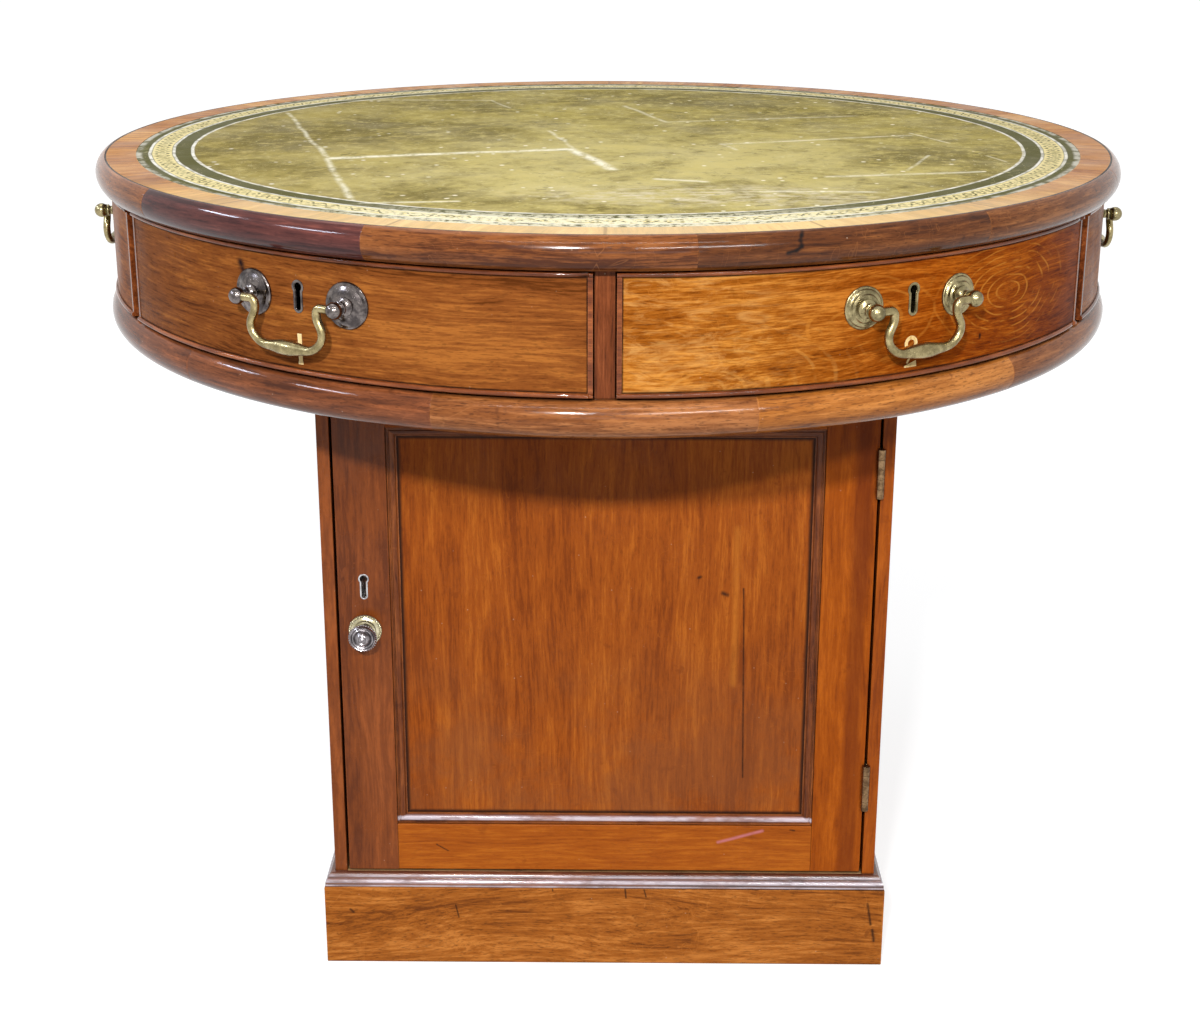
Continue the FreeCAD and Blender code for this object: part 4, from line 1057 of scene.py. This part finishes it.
def bail(number):
    """A swan-neck bail that thickens towards the middle of its grip."""
    corners = [Vector((handle_half - inset, bail_plane, handle_level - drop)) for inset, drop in bail_outline]
    half = rounded_path(corners, bail_bends)
    reach = [(handle_half - grip_inset) * (1 - step / 16) for step in range(3, 17)]
    straight = [Vector((x, bail_plane, handle_level - bail_depth)) for x in reach if x < half[-2].x - 0.001]
    half = half[:-1] + straight
    path = half + [Vector((-spot.x, spot.y, spot.z)) for spot in reversed(half[:-1])]
    radii = []
    for spot in path:
        on_grip = spot.z < handle_level - bail_depth + 0.0035
        share = max(0.0, 1.0 - abs(spot.x) / bail_swell_half) if on_grip else 0.0
        radii.append(bail_radius + (bail_swell - bail_radius) * math.sin(share * math.pi / 2) ** 2)
    shape = tube(path, radii)
    shape.transform(drawer_turn(number))
    name = f"bail_{number}"
    finish_piece(name + "_finished", shape, "bail_brass", name, f"drawer_{number}_bail", crisp=60.0)


def face_point(across, up, level, proud):
    """A point so many millimetres across and up from a level of the front, standing proud of its face."""
    return round_point(across * 0.001 / face_radius, level + up * 0.001, face_radius + proud)


def bow(x, y, radius, start, finish, half, steps=18):
    """Points (across, up, half width) along a bow of a numeral, in millimetres and degrees."""
    return [(*spot, half) for spot in arc(x, y, radius, math.radians(start), math.radians(finish), steps)]


# Strokes of the numerals, as points (across, up, half width) in millimetres
numeral_strokes = {
    1: [[(-0.3, 13.0, 2.2), (0.0, -10.4, 1.9), (0.0, -11.0, 2.5), (0.0, -13.0, 2.5)]],
    2: [bow(0.0, 7.0, 4.9, 200, -38, 1.6) + [(0.5, -3.0, 1.1), (-3.6, -9.4, 0.9)],
        [(-6.0, -12.2, 0.8), (6.2, -10.4, 2.6)]],
    3: [bow(0.0, 6.6, 4.9, 160, -80, 1.4), bow(0.0, -5.6, 6.0, 85, -160, 1.6)],
    4: [[(2.6, 13.0, 1.0), (-6.0, -4.4, 1.0)], [(-6.8, -4.8, 1.3), (6.8, -4.8, 1.3)],
        [(3.0, 13.0, 1.7), (3.0, -13.0, 1.7)]],
    5: [[(-3.6, 11.6, 1.4), (5.6, 11.6, 1.4)], [(-3.4, 12.0, 1.0), (-4.2, 1.0, 1.0)],
        bow(-0.2, -4.8, 6.4, 128, -150, 1.7)],
    6: [bow(0.0, -6.2, 5.2, 180, -180, 1.6, 30),
        [(-5.0, -5.0, 1.5), (-4.2, 2.0, 1.4), (-1.0, 8.6, 1.2), (4.0, 12.4, 1.0)]],
}


def numeral(number):
    """The drawer's number, let into its face as a pale inlay."""
    shape = bmesh.new()
    for stroke in numeral_strokes[number]:
        left, right = [], []
        for index, (across, up, half) in enumerate(stroke):
            before = stroke[max(index - 1, 0)]
            after = stroke[min(index + 1, len(stroke) - 1)]
            ahead = Vector((after[0] - before[0], after[1] - before[1])).normalized()
            left.append((across - ahead.y * half, up + ahead.x * half))
            right.append((across + ahead.y * half, up - ahead.x * half))
        low_left, low_right, top_left, top_right = [
            [shape.verts.new(face_point(*spot, numeral_level, proud)) for spot in side]
            for proud in (-0.0004, 0.0002) for side in (left, right)]
        for index in range(len(stroke) - 1):
            after = index + 1
            shape.faces.new((top_left[index], top_right[index], top_right[after], top_left[after]))
            shape.faces.new((low_left[index], top_left[index], top_left[after], low_left[after]))
            shape.faces.new((low_right[after], top_right[after], top_right[index], low_right[index]))
        shape.faces.new((low_left[0], low_right[0], top_right[0], top_left[0]))
        shape.faces.new((top_left[-1], top_right[-1], low_right[-1], low_left[-1]))
    shape.transform(drawer_turn(number))
    finish_piece(f"drawer_{number}_numeral", shape, "numeral_inlay", f"drawer_{number}")


def inner_fittings(number, finish):
    """The keyhole lining, and the lock and nuts behind the front."""
    name = f"drawer_{number}_fittings"
    for index, solid in enumerate(solids_of(name)):
        proud = max(math.hypot(vertex.co.x, vertex.co.y) for vertex in solid.verts) - face_radius
        if proud > mount_proud:
            solid.free()
            continue
        eased(solid, 0.0002)
        chosen = finish if proud > -iron_setback else "iron"
        finish_piece(f"{name}_finished_{index + 1}", solid, chosen, f"drawer_{number}", name)


def keyhole_outline(grow, steps=16):
    """Points (across, up) round a keyhole grown by so many millimetres."""
    head, slot, foot = 3.6 + grow, 2.3 + grow, -17.1
    meet = math.asin(slot / head)
    outline = arc(0.0, 0.0, head, -math.pi / 2 + meet, 1.5 * math.pi - meet, steps)
    return outline + arc(0.0, foot, slot, math.pi, math.tau, steps)


def keyhole_rim(number, finish):
    """A thin raised rim round a drawer's keyhole."""
    shape = bmesh.new()
    rings = [[shape.verts.new(face_point(*spot, keyhole_level, proud)) for spot in keyhole_outline(grow)]
             for grow, proud in ((2.5, -0.0003), (2.3, 0.0005), (0.4, 0.0005), (0.0, -0.002))]
    join_rings(shape, rings)
    shape.transform(drawer_turn(number))
    drawer = f"drawer_{number}"
    finish_piece(drawer + "_keyhole_rim", shape, finish, drawer, drawer + "_fittings")


for number in range(1, drawer_count + 1):
    front = {1: "drawer_slotted", 2: "drawer_swirl"}.get(number, "drawer_straight")
    rose, metal = (domed_rose, "dark_bronze") if number == 1 else (stepped_rose, "rose_brass")
    dress(f"drawer_{number}_front", [front, "bead_wood"], 0.0004, "round")
    dress(f"drawer_{number}_box", "inner_wood", 0.0006)
    handle_mounts(number, rose, metal)
    inner_fittings(number, metal)
    keyhole_rim(number, metal)
    numeral(number)
    bail(number)


# Studio
def seen_rays(tree):
    """One for rays that look at the background: the camera's, and those off metal or through glass."""
    path = node(tree, "LightPath", {})
    return larger(larger(path["Is Camera Ray"], path["Is Transmission Ray"]), path["Is Glossy Ray"])


def stand_in(name, held):
    """Puts a lamp, a camera or a mesh in the scene."""
    stand = bpy.data.objects.new(name, held)
    bpy.context.scene.collection.objects.link(stand)
    return stand


def studio_floor():
    """A pale floor that shows white to the camera and keeps the desk's shadow."""
    material, shader, place = new_material("studio_floor")
    glow = span(vector_maths("LENGTH", place), 0.6, 2.6, 0.78, 0.95)
    glow = times(seen_rays(shader.id_data), glow)
    feed(shader, {"Base Color": (0.36, 0.36, 0.36), "Roughness": 0.9, "Emission Color": (1, 1, 1),
                  "Emission Strength": glow})
    shape = bmesh.new()
    bmesh.ops.create_grid(shape, x_segments=1, y_segments=1, size=14.0)
    mesh = bpy.data.meshes.new("studio_floor")
    shape.to_mesh(mesh)
    shape.free()
    mesh.materials.append(material)
    floor = stand_in("studio_floor", mesh)


def studio_world():
    """Even pale surroundings, plain white where the camera or a reflection sees them."""
    world = bpy.data.worlds.new("studio_world")
    bpy.context.scene.world = world
    world.use_nodes = True
    tree = world.node_tree
    tree.nodes.clear()
    ambient = node(tree, "Background", {"Color": (0.95, 0.97, 1.0), "Strength": 0.15})
    white = node(tree, "Background", {"Color": (1.0, 1.0, 1.0), "Strength": 1.0})
    mixed = fed("MixShader", {0: seen_rays(tree), 1: ambient[0], 2: white[0]})
    node(tree, "OutputWorld", {0: mixed[0]})


def lamp(name, place, target, size, power, colour=(1.0, 1.0, 1.0)):
    light = bpy.data.lights.new(name, "AREA")
    light.shape = "RECTANGLE"
    light.size, light.size_y = size
    light.energy = power
    light.color = colour
    stand = stand_in(name, light)
    stand.location = place
    stand.rotation_euler = (Vector(target) - Vector(place)).to_track_quat("-Z", "Y").to_euler()


def studio_camera():
    """The photograph's viewpoint: a little above the top, looking down, with the frame shifted low."""
    camera = bpy.data.cameras.new("studio_camera")
    camera.sensor_fit = "HORIZONTAL"
    camera.sensor_width = 36.0
    camera.lens = 53.18
    camera.shift_y = -0.1083
    stand = stand_in("studio_camera", camera)
    tilt = Matrix.Rotation(math.pi / 2 - 0.2866, 4, "X")
    turn = Matrix.Rotation(0.0075, 4, "Z")
    roll = Matrix.Rotation(0.0023, 4, "Z")
    stand.matrix_world = Matrix.Translation((0.0063, -1.8245, 1.0588)) @ turn @ tilt @ roll
    bpy.context.scene.camera = stand


studio_floor()
studio_world()
daylight = (0.72, 0.82, 1.0)
lamp("key_softbox", (-0.35, -2.7, 1.97), (0, 0, 0.5), (0.14, 0.12), 61.0)
lamp("front_softbox", (0.0, -2.0, 3.0), (0, -0.3, 0.3), (2.2, 0.05), 17.0)
lamp("low_softbox", (0.2, -3.2, 1.0), (0, 0, 0.6), (1.4, 0.5), 5.0)
lamp("right_softbox", (0.85, -2.5, 1.9), (0, 0, 0.6), (1.1, 0.09), 30.0)
lamp("window_softbox", (-2.15, -1.1, 2.0), (0, 0, 0.6), (0.6, 0.12), 15.0, daylight)
lamp("far_window_softbox", (-2.3, 0.0, 2.0), (0, 0, 0.6), (0.5, 0.1), 10.0, daylight)
lamp("top_softbox", (-0.3, 0.6, 3.0), (0, 0, 0.7), (2.4, 1.6), 24.0)
studio_camera()
bpy.context.scene.view_settings.view_transform = "Standard"
